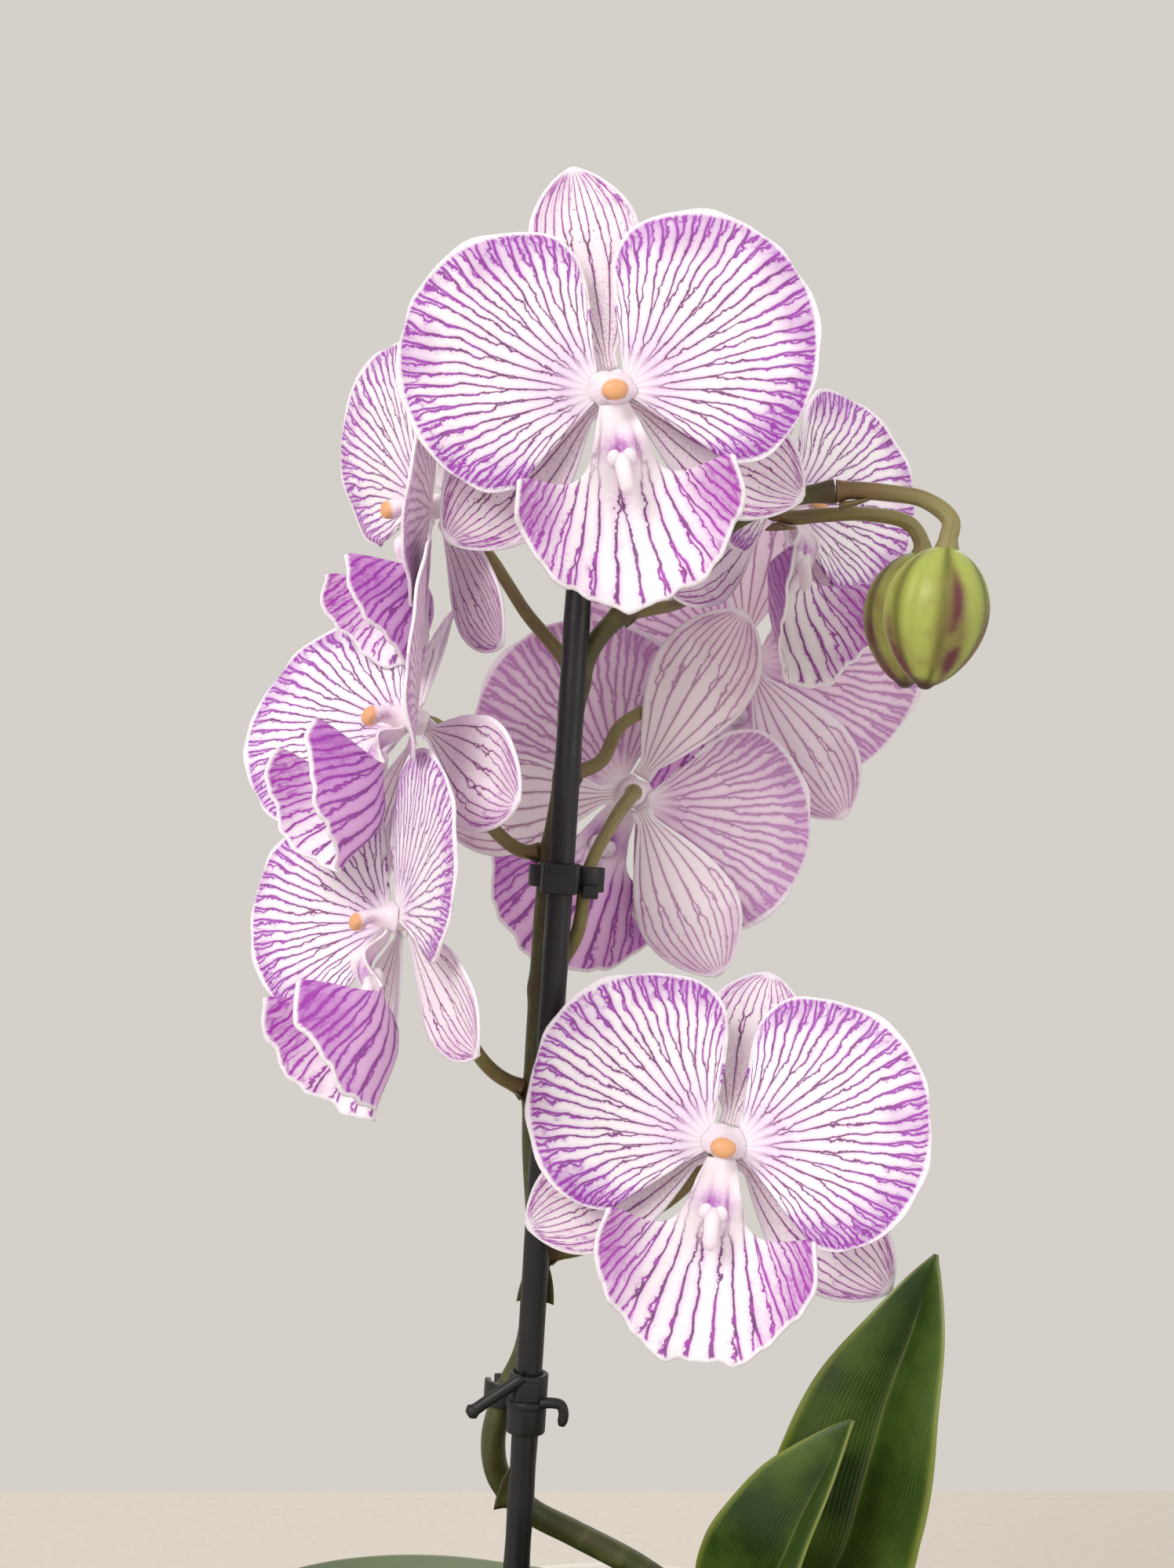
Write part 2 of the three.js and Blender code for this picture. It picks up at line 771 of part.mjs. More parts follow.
function leafBody(leaf) {
  const curve = new THREE.CatmullRomCurve3(leaf.line, false, "centripetal");
  const fold = rad(leaf.fold);
  const surface = (s, t) => {
    const at = THREE.MathUtils.clamp(t, 0, 1);
    const tangent = curve.getTangentAt(at);
    const side = tangent.clone().cross(leaf.face).normalize();
    const up = side.clone().cross(tangent);
    const belly = Math.sin(Math.PI * (0.04 + 0.96 * at) ** 0.9) ** 0.8;
    const half = Math.max(leaf.half * belly, 0.8 + 3 * (1 - at));
    const point = curve.getPointAt(at);
    point.addScaledVector(side, s * half * Math.cos(fold));
    return point.addScaledVector(up, Math.abs(s) * half * Math.sin(fold));
  };
  return solid(blade(4, 8, LEAF_THICKNESS, surface)).subtract(crownRoom).subtract(stemRoom);
}

const roots = [
  {
    name: "root_front",
    line: [vec(21, -3, 115), vec(20, -14, 118), vec(17, -27, 118), vec(14, -34, 112), vec(13, -38, 103)],
  },
  {
    name: "root_rear",
    line: [vec(24, 9, 115), vec(24, 22, 118.5), vec(22, 34, 118), vec(19.5, 40, 112), vec(18.5, 42, 103)],
  },
];

function rootBody(root, extra) {
  const curve = new THREE.CatmullRomCurve3(root.line, false, "centripetal");
  return solid(tube(curve, 10, STALK_SIDES, (t) => ROOT_RADIUS * (1 - 0.25 * t) + extra));
}

// ---- pot and growing medium ----

function potBody() {
  const wallInner = (z) => {
    const slope = (POT_RIM_RADIUS - POT_BASE_RADIUS) / POT_HEIGHT;
    return POT_BASE_RADIUS + slope * z - POT_WALL;
  };
  const lipFoot = POT_HEIGHT - POT_LIP_HEIGHT;
  const profile = [
    [0, 0],
    [POT_BASE_RADIUS - 2, 0],
    [POT_BASE_RADIUS, 2],
    [wallInner(lipFoot) + POT_WALL, lipFoot],
    [wallInner(lipFoot) + POT_WALL + POT_LIP_STEP, lipFoot + 1],
    [POT_RIM_RADIUS + POT_LIP_STEP, POT_HEIGHT - 1],
    [POT_RIM_RADIUS + POT_LIP_STEP - 1, POT_HEIGHT],
    [wallInner(POT_HEIGHT) + 0.6, POT_HEIGHT],
    [wallInner(POT_HEIGHT), POT_HEIGHT - 0.8],
    [wallInner(POT_FLOOR), POT_FLOOR],
    [0, POT_FLOOR],
  ];
  let body = solid(lathe(profile, ROUND_SIDES));
  for (let i = 0; i < DRAIN_HOLES; i += 1) {
    const angle = (i / DRAIN_HOLES) * Math.PI * 2;
    const hole = new THREE.CylinderGeometry(DRAIN_RADIUS, DRAIN_RADIUS, POT_FLOOR * 4, 8);
    hole.rotateX(Math.PI / 2);
    hole.translate(DRAIN_CIRCLE * Math.cos(angle), DRAIN_CIRCLE * Math.sin(angle), 0);
    body = body.subtract(solid(hole));
  }
  return fromSolid(body);
}

function mediumBody(cutters) {
  const slope = (POT_RIM_RADIUS - POT_BASE_RADIUS) / POT_HEIGHT;
  const inside = (z) => POT_BASE_RADIUS + slope * z - POT_WALL - GAP - 0.1;
  const wallTop = mediumTop(POT_RIM_RADIUS);
  const profile = [
    [0, POT_FLOOR + GAP],
    [inside(POT_FLOOR + GAP), POT_FLOOR + GAP],
    [inside(wallTop), wallTop],
    [POT_RIM_RADIUS * 0.7, mediumTop(POT_RIM_RADIUS * 0.7)],
    [POT_RIM_RADIUS * 0.35, mediumTop(POT_RIM_RADIUS * 0.35)],
    [0, mediumTop(0)],
  ];
  let body = solid(lathe(profile, ROUND_SIDES));
  cutters.forEach((cutter) => {
    body = body.subtract(cutter);
  });
  return fromSolid(body);
}

// ---- the whole plant ----

const orchid = new THREE.Group();
const plant = new THREE.Group();
plant.position.z = LIFT;
orchid.add(plant);
orchid.add(named("pot", potBody(), POT_SKIN));
const stakeRoom = solid(stakeBody(GAP));
const rooms = [stakeRoom, crownRoom, ...roots.map((root) => rootBody(root, GAP))];
const lifted = rooms.map((room) => room.translate([0, 0, LIFT]));
orchid.add(named("growing_medium", mediumBody(lifted), MEDIUM_SKIN));

plant.add(named("crown", sealed(crownBody(0)), LEAF_SKIN));
plant.add(named("stake", sealed(stakeBody(0)), STAKE_SKIN));
const lastStalkRoom = stalkBody(flowers.at(-1), GAP);
plant.add(named("clip_upper", upperClip([stakeRoom, stemRoom, lastStalkRoom]), STAKE_SKIN));
plant.add(named("clip_lower", lowerClip([stakeRoom, stemRoom]), STAKE_SKIN));
plant.add(named("stem", fromSolid(stemBody.subtract(crownRoom)), STEM_SKIN));
leaves.forEach((leaf) => plant.add(named(leaf.name, fromSolid(leafBody(leaf)), LEAF_SKIN)));
roots.forEach((root) => {
  plant.add(named(root.name, fromSolid(rootBody(root, 0).subtract(crownRoom)), ROOT_SKIN));
});
buds.forEach((bud) => plant.add(named(bud.name, budBody(bud), BUD_SKIN)));
flowers.forEach((flower) => plant.add(flowerGroup(flower)));

export default orchid;
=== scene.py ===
import bmesh
import bpy
import math
import numpy as np
from mathutils import Matrix, Vector


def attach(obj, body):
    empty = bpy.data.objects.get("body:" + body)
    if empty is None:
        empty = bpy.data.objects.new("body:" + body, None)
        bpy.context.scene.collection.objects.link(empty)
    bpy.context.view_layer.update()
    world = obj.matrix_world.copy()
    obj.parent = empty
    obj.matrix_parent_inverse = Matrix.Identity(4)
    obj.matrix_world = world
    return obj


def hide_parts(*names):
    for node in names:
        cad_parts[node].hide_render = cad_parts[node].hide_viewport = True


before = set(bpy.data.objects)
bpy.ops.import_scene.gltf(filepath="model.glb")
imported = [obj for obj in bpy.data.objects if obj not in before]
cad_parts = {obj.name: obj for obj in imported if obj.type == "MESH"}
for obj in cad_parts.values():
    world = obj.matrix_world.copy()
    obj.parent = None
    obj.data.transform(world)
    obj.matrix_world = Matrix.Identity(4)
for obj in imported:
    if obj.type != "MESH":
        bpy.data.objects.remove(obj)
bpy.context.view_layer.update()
MM = 0.001
HUB = 3.0
GAP = 0.3
SKIN = 0.6  # thickness of a petal, sepal or lip
STAKE_RADIUS = 2.8
POT_HEIGHT = 115
POT_RIM = 62
POT_FOOT = 46
CROWN_X, CROWN_Y = 24, 4

# ------------------------------------------------------------------ small helpers


def smooth(x, low, high):
    u = np.clip((x - low) / (high - low), 0.0, 1.0)
    return u * u * (3 - 2 * u)


def catmull(points, count):
    """A centripetal Catmull-Rom curve through points, sampled evenly by length."""
    p = np.asarray(points, float)
    p = np.vstack([2 * p[0] - p[1], p, 2 * p[-1] - p[-2]])
    out = []
    for i in range(1, len(p) - 2):
        a, b, c, d = p[i - 1], p[i], p[i + 1], p[i + 2]
        k = [0.0]
        for u, v in ((a, b), (b, c), (c, d)):
            k.append(k[-1] + max(np.linalg.norm(v - u), 1e-6) ** 0.5)
        t = np.linspace(k[1], k[2], 25)[:, None]
        a1 = (k[1] - t) / (k[1] - k[0]) * a + (t - k[0]) / (k[1] - k[0]) * b
        a2 = (k[2] - t) / (k[2] - k[1]) * b + (t - k[1]) / (k[2] - k[1]) * c
        a3 = (k[3] - t) / (k[3] - k[2]) * c + (t - k[2]) / (k[3] - k[2]) * d
        b1 = (k[2] - t) / (k[2] - k[0]) * a1 + (t - k[0]) / (k[2] - k[0]) * a2
        b2 = (k[3] - t) / (k[3] - k[1]) * a2 + (t - k[1]) / (k[3] - k[1]) * a3
        seg = (k[2] - t) / (k[2] - k[1]) * b1 + (t - k[1]) / (k[2] - k[1]) * b2
        out.append(seg if i == len(p) - 3 else seg[:-1])
    out = np.vstack(out)
    lengths = np.concatenate([[0], np.cumsum(np.linalg.norm(np.diff(out, axis=0), axis=1))])
    want = np.linspace(0, lengths[-1], count)
    return np.stack([np.interp(want, lengths, out[:, j]) for j in range(out.shape[1])], axis=1)


def wander(x, seed, scale):
    """A smooth repeatable wave in -1..1, for ruffles and wobbles."""
    x = np.asarray(x, float) / scale
    total = 0
    for i, (f, a) in enumerate(((1.0, 0.6), (2.3, 0.3), (4.1, 0.16))):
        total = total + a * np.sin(f * x + seed * (1.7 + i) + i * 2.1)
    return total


def unit(v):
    return v / np.linalg.norm(v, axis=-1, keepdims=True)


def sheet_grid(rows, columns):
    """Arrays of rows by columns: 0 to 1 down the rows, and -1 to 1 across the columns."""
    t = np.linspace(0, 1, rows)[:, None] * np.ones(columns)
    return t, np.linspace(-1, 1, columns)[None, :] * np.ones((rows, 1))


def round_grid(rows, columns):
    """Arrays of rows by columns: -1 to 1 down the rows of a ball, and the angle around it."""
    h = -np.cos(np.pi * np.linspace(0, 1, rows))[:, None] * np.ones(columns)
    return h, np.linspace(0, 2 * math.pi, columns, endpoint=False)[None, :] * np.ones((rows, 1))


def new_object(name, verts, faces, materials, node=None, attributes=None, index=None):
    """A piece on the root body, from millimetres; index is the material of each face."""
    mesh = bpy.data.meshes.new(name)
    mesh.from_pydata((np.asarray(verts) * MM).tolist(), [], faces)
    for key, values in (attributes or {}).items():
        values = np.asarray(values, np.float32)
        kind, field = ("FLOAT", "value") if values.ndim == 1 else ("FLOAT_VECTOR", "vector")
        mesh.attributes.new(key, kind, "POINT").data.foreach_set(field, values.ravel())
    mesh.polygons.foreach_set("use_smooth", [True] * len(mesh.polygons))
    if index is not None:
        mesh.polygons.foreach_set("material_index", index)
    obj = bpy.data.objects.new(name, mesh)
    bpy.context.scene.collection.objects.link(obj)
    for m in materials:
        mesh.materials.append(m)
    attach(obj, "root")
    if node:
        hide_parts(node)
    return obj


def grid_faces(rows, columns, wrap=False):
    faces = []
    last = columns if wrap else columns - 1
    for i in range(rows - 1):
        for j in range(last):
            a = i * columns + j
            b = i * columns + (j + 1) % columns
            faces.append((a, b, b + columns, a + columns))
    return faces


def border(rows, columns):
    """The neighbouring pairs of points around the border of a grid."""
    edge = list(range(columns))
    edge += [i * columns + columns - 1 for i in range(1, rows)]
    edge += [(rows - 1) * columns + i for i in range(columns - 2, -1, -1)]
    edge += [i * columns for i in range(rows - 2, 0, -1)]
    return list(zip(edge, edge[1:] + edge[:1]))


def join_parts(parts):
    """Joins (verts, faces, attributes, material index) parts into one set of lists."""
    verts, faces, index = [], [], []
    keys = sorted({k for p in parts for k in p[2]})
    values = {k: [] for k in keys}
    start = 0
    for v, f, attributes, material in parts:
        v = np.asarray(v, float)
        verts.append(v)
        faces += [tuple(int(i) + start for i in face) for face in f]
        index += [material] * len(f)
        for k in keys:
            got = attributes.get(k)
            if got is None:
                wide = next(np.asarray(p[2][k]).ndim for p in parts if k in p[2])
                got = np.zeros(len(v)) if wide == 1 else np.zeros((len(v), 3))
            values[k].append(np.asarray(got, float))
        start += len(v)
    return np.vstack(verts), faces, {k: np.concatenate(v) for k, v in values.items()}, index


def tube(points, radius, sides=14):
    """A round closed tube along sampled points; radius is a number or one per point."""
    p = np.asarray(points, float)
    n = len(p)
    r = np.broadcast_to(np.asarray(radius, float), (n,))
    tangent = unit(np.gradient(p, axis=0))
    ref = np.array([0.0, 0.0, 1.0])
    if abs(tangent[0] @ ref) > 0.9:
        ref = np.array([1.0, 0.0, 0.0])
    normal = unit(np.cross(tangent[0], ref))
    verts, along, around = [], [], []
    length = np.concatenate([[0], np.cumsum(np.linalg.norm(np.diff(p, axis=0), axis=1))])
    for i in range(n):
        normal = unit(normal - tangent[i] * (normal @ tangent[i]))
        other = np.cross(tangent[i], normal)
        for k in range(sides):
            a = 2 * math.pi * k / sides
            verts.append(p[i] + r[i] * (math.cos(a) * normal + math.sin(a) * other))
            along.append(length[i])
            around.append(k / sides)
    faces = grid_faces(n, sides, wrap=True)
    verts += [p[0], p[-1]]
    along += [0, length[-1]]
    around += [0, 0]
    a, b = len(verts) - 2, len(verts) - 1
    for k in range(sides):
        faces.append((a, (k + 1) % sides, k))
        faces.append((b, (n - 1) * sides + k, (n - 1) * sides + (k + 1) % sides))
    share = np.array(along) / max(length[-1], 1e-6)
    return np.array(verts), faces, {"run": share, "mm": np.array(along), "turn": np.array(around)}


def ball(centre, size, rows, columns):
    """A closed rounded form about centre, with its half sizes."""
    verts = []
    for i in range(rows + 1):
        h = -math.cos(math.pi * i / rows)
        r = math.sqrt(max(0.0, 1 - h * h))
        for k in range(columns):
            a = 2 * math.pi * k / columns
            verts.append((r * math.cos(a) * size[0], r * math.sin(a) * size[1], h * size[2]))
    return np.array(verts) + np.asarray(centre, float), grid_faces(rows + 1, columns, wrap=True)


# ------------------------------------------------------------------ materials


class Value:
    """An output of a shader node, for use in sums."""

    def __init__(self, nodes, socket):
        self.nodes = nodes
        self.socket = socket

    def __add__(self, other):
        return self.nodes.math("ADD", self, other)

    def __sub__(self, other):
        return self.nodes.math("SUBTRACT", self, other)

    def __mul__(self, other):
        return self.nodes.math("MULTIPLY", self, other)


class Nodes:
    """A short way to write a material's shader nodes."""

    def __init__(self, name):
        self.material = bpy.data.materials.new(name)
        self.material.use_nodes = True
        self.tree = self.material.node_tree
        self.tree.nodes.clear()
        out = self.tree.nodes.new("ShaderNodeOutputMaterial")
        self.skin = self.tree.nodes.new("ShaderNodeBsdfPrincipled")
        self.tree.links.new(self.skin.outputs[0], out.inputs[0])

    def put(self, socket, value):
        if isinstance(value, Value):
            self.tree.links.new(value.socket, socket)
        elif isinstance(value, tuple) and socket.type == "RGBA":
            socket.default_value = (*value, 1.0)
        else:
            socket.default_value = value

    def node(self, kind, inputs, output=0, **settings):
        node = self.tree.nodes.new("ShaderNode" + kind)
        for key, value in settings.items():
            setattr(node, key, value)
        for key, value in inputs.items():
            self.put(node.inputs[key], value)
        return Value(self, node.outputs[output])

    def math(self, operation, a, b=0.0):
        return self.node("Math", {0: a, 1: b}, operation=operation)

    def ramp(self, value, low, high, out_low=0.0, out_high=1.0):
        """A smooth step from out_low at low to out_high at high."""
        inputs = {0: value, 1: low, 2: high, 3: out_low, 4: out_high}
        return self.node("MapRange", inputs, interpolation_type="SMOOTHSTEP")

    def mix(self, factor, a, b):
        """The colour a where factor is 0 and b where it is 1."""
        return self.node("Mix", {0: factor, 6: a, 7: b}, 2, data_type="RGBA")

    def blend(self, factor, a, b):
        """The number a where factor is 0 and b where it is 1."""
        return self.node("Mix", {0: factor, 2: a, 3: b}, data_type="FLOAT")

    def attribute(self, name, output="Fac"):
        return self.node("Attribute", {}, output, attribute_name=name)

    def noise(self, vector, scale, detail=2.0, roughness=0.5):
        inputs = {"Vector": vector, "Scale": scale, "Detail": detail, "Roughness": roughness}
        return self.node("TexNoise", inputs)

    def vector(self, x, y, z=0.0):
        return self.node("CombineXYZ", {0: x, 1: y, 2: z})

    def voronoi(self, vector, scale, feature="F1"):
        return self.node("TexVoronoi", {"Vector": vector, "Scale": scale}, "Distance", feature=feature)

    def object_position(self):
        return self.node("TexCoord", {}, "Object")

    def bump(self, height, strength, distance):
        inputs = {"Height": height, "Strength": strength, "Distance": distance}
        self.put(self.skin.inputs["Normal"], self.node("Bump", inputs))

    def finish(self, color, grain, rough, subsurface=0.0, radius=(1.0, 0.6, 0.6), scale=0.002, sheen=0.0,
               specular=0.4):
        """Sets the skin's colour and its roughness, which runs over rough as grain runs from 0.3 to 0.7."""
        self.put(self.skin.inputs["Base Color"], color)
        self.put(self.skin.inputs["Roughness"], self.ramp(grain, 0.3, 0.7, *rough))
        self.skin.inputs["Specular IOR Level"].default_value = specular
        if subsurface:
            self.skin.inputs["Subsurface Weight"].default_value = subsurface
            self.skin.inputs["Subsurface Radius"].default_value = radius
            self.skin.inputs["Subsurface Scale"].default_value = scale
        if sheen:
            self.skin.inputs["Sheen Weight"].default_value = sheen
        return self.material


def linear(r, g, b):
    return tuple(((c / 255 + 0.055) / 1.055) ** 2.4 if c > 10 else c / 255 / 12.92 for c in (r, g, b))


def vein_gap(n, phase, reach, forks):
    """How far a point is, in radians of phase, from the nearest vein. Each level of forks splits
    every vein in two where reach passes it."""
    gap = None
    for level, (low, high) in enumerate(forks):
        turns = 2.0 ** level
        fold = n.math("PINGPONG", phase * turns + (math.pi if level else 0.0), math.pi)
        apart = n.ramp(reach, low, high, 0.0, math.pi / 2)
        mine = n.math("ABSOLUTE", fold - apart) * (1.0 / turns)
        gap = mine if gap is None else n.blend(n.math("GREATER_THAN", reach, low), gap, mine)
    return gap


def petal_material(name, tints, forks, spread, lines, margin, net, rim_white=1.0, muted=0.0, blot=0.0,
                   freckle=1.0):
    """Skin of petals, sepals and lips. Attributes: phase (radians across the veins), reach (0 at the
    base to 1 at the rim), rim (mm to the rim), spot (a place on the flower in mm, differing by
    flower), mark (0..1, extra colour) and pale (0..1, whitened). tints are the ground, the blush,
    the veins and the darkest veins; spread is mm per radian at the rim; lines are half widths of
    the veins in mm at the base, in the middle and at the rim."""
    ground, blush, vein, dark = (linear(*c) for c in tints)
    n = Nodes(name)
    phase = n.attribute("phase")
    reach = n.attribute("reach")
    rim = n.attribute("rim")
    spot = n.attribute("spot", "Vector")
    slow = n.noise(spot, 0.09) - 0.5
    fine = n.noise(spot, 0.34) - 0.5
    ragged = n.noise(spot, 1.5) - 0.5
    wobble = slow * 2.4 + fine + ragged * 0.28
    warped = phase + wobble * n.ramp(reach, 0.05, 0.7, 0.2, 1.0)
    late = reach + (fine * 0.34 + ragged * 0.10)
    gap = vein_gap(n, warped, late, forks) * (n.math("MAXIMUM", reach, 0.12) * spread)
    half = n.ramp(reach, 0.25, 0.62, lines[0], lines[1]) + n.ramp(reach, 0.62, 1.0, 0.0, lines[2] - lines[1])
    half = half * (ragged * 1.1 + 1.0)
    veins = n.ramp(gap, half + 0.14, half - 0.10)
    # cross links that close the network near the rim, and freckles between the veins
    place = n.vector(warped * (spread / 2.4), reach * (spread * 3.4), slow * 3.0)
    cells = n.voronoi(place, 1.0, "DISTANCE_TO_EDGE")
    links = n.ramp(cells, 0.10, 0.02) * n.ramp(reach + fine * 0.5, 0.66, 0.9, 0.0, net)
    dots = n.ramp(n.voronoi(spot, 0.62), 0.23, 0.12) * n.ramp(n.noise(spot, 0.16, 1.0), 0.50, 0.60, 0.0, 0.5)
    dots = dots * freckle * n.ramp(reach, 0.35, 0.6)
    drawn = n.math("MAXIMUM", veins, n.math("MAXIMUM", links, dots)) * n.ramp(reach, 0.05, 0.2)
    # colours: pale heart, purple breath between the veins of the outer third
    outer = n.ramp(reach + slow * 0.6, 0.55, 0.98)
    wash = n.mix(n.ramp(reach, 0.42, 0.1, 0.0, 0.55), ground, blush)
    wash = n.mix(outer * margin, wash, vein)
    wash = n.mix(n.ramp(gap, half + 0.85, half) * 0.22, wash, vein)
    line_color = n.mix(n.ramp(reach + fine, 0.38, 0.78), dark, vein)
    line_color = n.mix(n.ramp(ragged, -0.1, 0.25, 0.0, 0.3), line_color, dark)
    color = n.mix(drawn * (0.93 - muted), wash, line_color)
    clouds = n.ramp(n.noise(spot, 0.9, 3.0), 0.25, 0.62, 0.45, 1.0)
    color = n.mix(n.attribute("mark") * clouds, color, vein)
    color = n.mix(n.attribute("pale"), color, linear(246, 240, 240))
    if blot:
        scribble = n.ramp(n.noise(spot, 1.9, 3.0, 0.7), 0.5, 0.6, 0.0, blot)
        color = n.mix(scribble * n.ramp(reach, 0.62, 0.3), color, vein)
    color = n.mix(n.ramp(rim + ragged * 0.7, 1.25, 0.45) * rim_white, color, linear(244, 236, 245))
    # a finely blistered skin, sunk a little along the veins
    grain = n.noise(spot, 5.0)
    n.bump(grain * 0.35 + veins * -0.45 + slow * 1.5, 0.4, 0.0004)
    return n.finish(color, grain, (0.42, 0.6), 0.2, (1.0, 0.55, 0.75), 0.0014, 0.15, 0.35)


PETAL_FORKS = ((0.08, 0.24), (0.30, 0.52), (0.58, 0.86))
PETAL_FRONT = petal_material(
    "petal_front", ((250, 243, 249), (230, 200, 236), (158, 46, 178), (112, 30, 108)), PETAL_FORKS, 2.6,
    (0.15, 0.22, 0.42), 0.58, 1.0, freckle=0.2,
)
PETAL_BACK = petal_material(
    "petal_back", ((240, 220, 236), (224, 192, 216), (178, 100, 184), (156, 84, 152)), PETAL_FORKS, 2.6,
    (0.26, 0.34, 0.5), 0.42, 0.6, 0.9, 0.3, freckle=0.15,
)
SEPAL_FORKS = ((0.46, 0.66), (0.76, 1.0))
SEPAL_FRONT = petal_material(
    "sepal_front", ((246, 236, 241), (242, 232, 230), (158, 56, 164), (96, 20, 70)), SEPAL_FORKS, 1.7,
    (0.15, 0.24, 0.36), 0.24, 1.0, blot=0.35,
)
SEPAL_BACK = petal_material(
    "sepal_back", ((244, 230, 238), (236, 214, 222), (170, 96, 166), (140, 70, 126)), SEPAL_FORKS, 1.7,
    (0.22, 0.32, 0.42), 0.34, 0.6, 0.8, 0.28, freckle=0.5,
)
LIP_FORKS = ((0.2, 0.42), (0.5, 0.78))
LIP_FRONT = petal_material(
    "lip_front", ((250, 242, 249), (244, 232, 243), (170, 40, 180), (104, 26, 106)), LIP_FORKS, 1.9,
    (0.15, 0.22, 0.36), 0.42, 0.8, freckle=0.4,
)
LIP_BACK = petal_material(
    "lip_back", ((232, 190, 234), (220, 184, 224), (164, 48, 178), (124, 36, 138)), LIP_FORKS, 1.9,
    (0.22, 0.30, 0.40), 0.4, 0.6, 1.0, 0.05, freckle=0.2,
)


def stalk_material(name, low, high, joint):
    """Stems and stalks: a colour that changes along the run, with a darker joint at its foot."""
    n = Nodes(name)
    at = n.object_position()
    run = n.attribute("run")
    mottle = n.noise(at, 260.0, 4.0)
    streak = n.noise(n.vector(n.attribute("turn") * 9.0, n.attribute("mm") * 0.06), 1.6, 3.0)
    color = n.mix(run, low, high)
    color = n.mix(n.ramp(streak, 0.38, 0.68, 0.0, 0.45), color, joint)
    color = n.mix(n.ramp(mottle, 0.45, 0.75, 0.0, 0.3), color, linear(128, 132, 72))
    color = n.mix(n.attribute("mark") * 0.85, color, joint)
    n.bump(mottle * 0.5 + streak, 0.3, 0.0004)
    return n.finish(color, mottle, (0.35, 0.52), 0.08, (0.8, 1.0, 0.4), 0.001)


STEM = stalk_material("stem_green", linear(66, 72, 34), linear(78, 78, 44), linear(70, 50, 30))
STALK = stalk_material("stalk_green", linear(104, 96, 52), linear(150, 142, 92), linear(112, 78, 56))


def column_material():
    n = Nodes("column_skin")
    spot = n.attribute("spot", "Vector")
    grain = n.noise(spot, 2.2, 3.0)
    color = n.mix(n.attribute("pale"), linear(245, 232, 240), linear(228, 170, 122))
    color = n.mix(n.attribute("mark") * n.ramp(grain, 0.35, 0.6, 0.3, 1.0), color, linear(158, 70, 160))
    n.bump(grain, 0.2, 0.0004)
    return n.finish(color, grain, (0.35, 0.5), 0.3, (1.0, 0.7, 0.6), 0.002)


COLUMN = column_material()

# ------------------------------------------------------------------ flowers

PETAL_RIM = catmull(
    [(22.5, -18.5), (29, -18.5), (36.5, -13.8), (41.8, -5), (44, 5), (43, 15), (38, 24.5), (29, 31.5),
     (18.5, 34.2), (8.6, 33), (3.6, 27), (2.7, 17.5)],
    400,
)
LIP_RIM = catmull([(0, -46.4), (8.6, -44.6), (16, -40), (21.8, -33.2), (25.2, -26.4), (25.6, -20.5)], 300)
CLAW = 3.6
DISH = 0.0017
LIP_HINGE = -HUB - 1.7 * GAP
SEPAL_LENGTH = 47.0
SEPAL_HALF = 12.0


def rim_at(rim, u):
    k = np.clip(u, 0, 1) * (len(rim) - 1)
    index = np.arange(len(rim))
    return np.stack([np.interp(k, index, rim[:, j]) for j in range(2)], axis=-1)


def turned(p, angle):
    c, s = math.cos(angle), math.sin(angle)
    x = p[..., 0] * c - p[..., 1] * s
    y = p[..., 0] * s + p[..., 1] * c
    return np.stack([x, y, p[..., 2]], axis=-1)


def distance_to(points, outline):
    """Shortest distance in mm of each flat point to the outline."""
    best = np.full(len(points), 1e9)
    for a in range(0, len(outline), 3):
        d = np.hypot(points[:, 0] - outline[a, 0], points[:, 1] - outline[a, 1])
        best = np.minimum(best, d)
    return best


def petal(side, cup, turn, seed):
    """A petal in the flower's own frame, in mm, with its vein attributes."""
    rows, columns = 40, 60
    t, s = sheet_grid(rows, columns)
    t = 1 - (1 - t) ** 1.25
    rim = rim_at(PETAL_RIM, (s + 1) / 2)
    ruffle = 1 + 0.018 * wander((s + 1) * 30, seed, 3.4)
    claw = np.radians(6 + 34 * s)
    x = CLAW * np.cos(claw) * (1 - t) + rim[..., 0] * t * (1 + (ruffle - 1) * t)
    y = CLAW * np.sin(claw) * (1 - t) + rim[..., 1] * t * (1 + (ruffle - 1) * t)
    out = x - CLAW
    lift = DISH * out * out
    # a shallow channel on the midrib, softly rolled edges and a little wave
    lift = lift - 0.9 * np.exp(-(s * 3.2) ** 2) * t * (1 - 0.5 * t)
    lift = lift + 0.9 * wander((s + 1) * 26 + t * 5, seed + 2, 4.2) * t ** 2
    lift = lift - 1.1 * smooth(t, 0.86, 1.0) * (0.6 + 0.4 * wander((s + 1) * 20, seed + 5, 5.0))
    flat = np.stack([x, y], axis=-1).reshape(-1, 2)
    c, k = math.cos(cup), math.sin(cup)
    p = turned(np.stack([CLAW + out * c - lift * k, y, 0.9 + out * k + lift * c], axis=-1), turn)
    p[..., 0] *= side
    edge = distance_to(flat, PETAL_RIM)
    # veins run outwards and bend towards the rim
    bend = s * (1.22 - 0.22 * t)
    phase = bend * math.pi * 8.0 + seed
    attributes = {
        "phase": phase.ravel(),
        "reach": np.clip(t * 0.78 + 0.22 * np.abs(s) ** 2 * t, 0, 1).ravel(),
        "rim": edge,
        "spot": np.concatenate([flat, np.full((len(flat), 1), seed * 37.0)], axis=1),
        "mark": np.zeros(len(flat)),
        "pale": smooth(np.hypot(flat[:, 0], flat[:, 1]), 11.0, 4.0) * 0.7,
    }
    faces = grid_faces(rows, columns)
    if side > 0:
        faces = [face[::-1] for face in faces]
    return p.reshape(-1, 3), faces, attributes


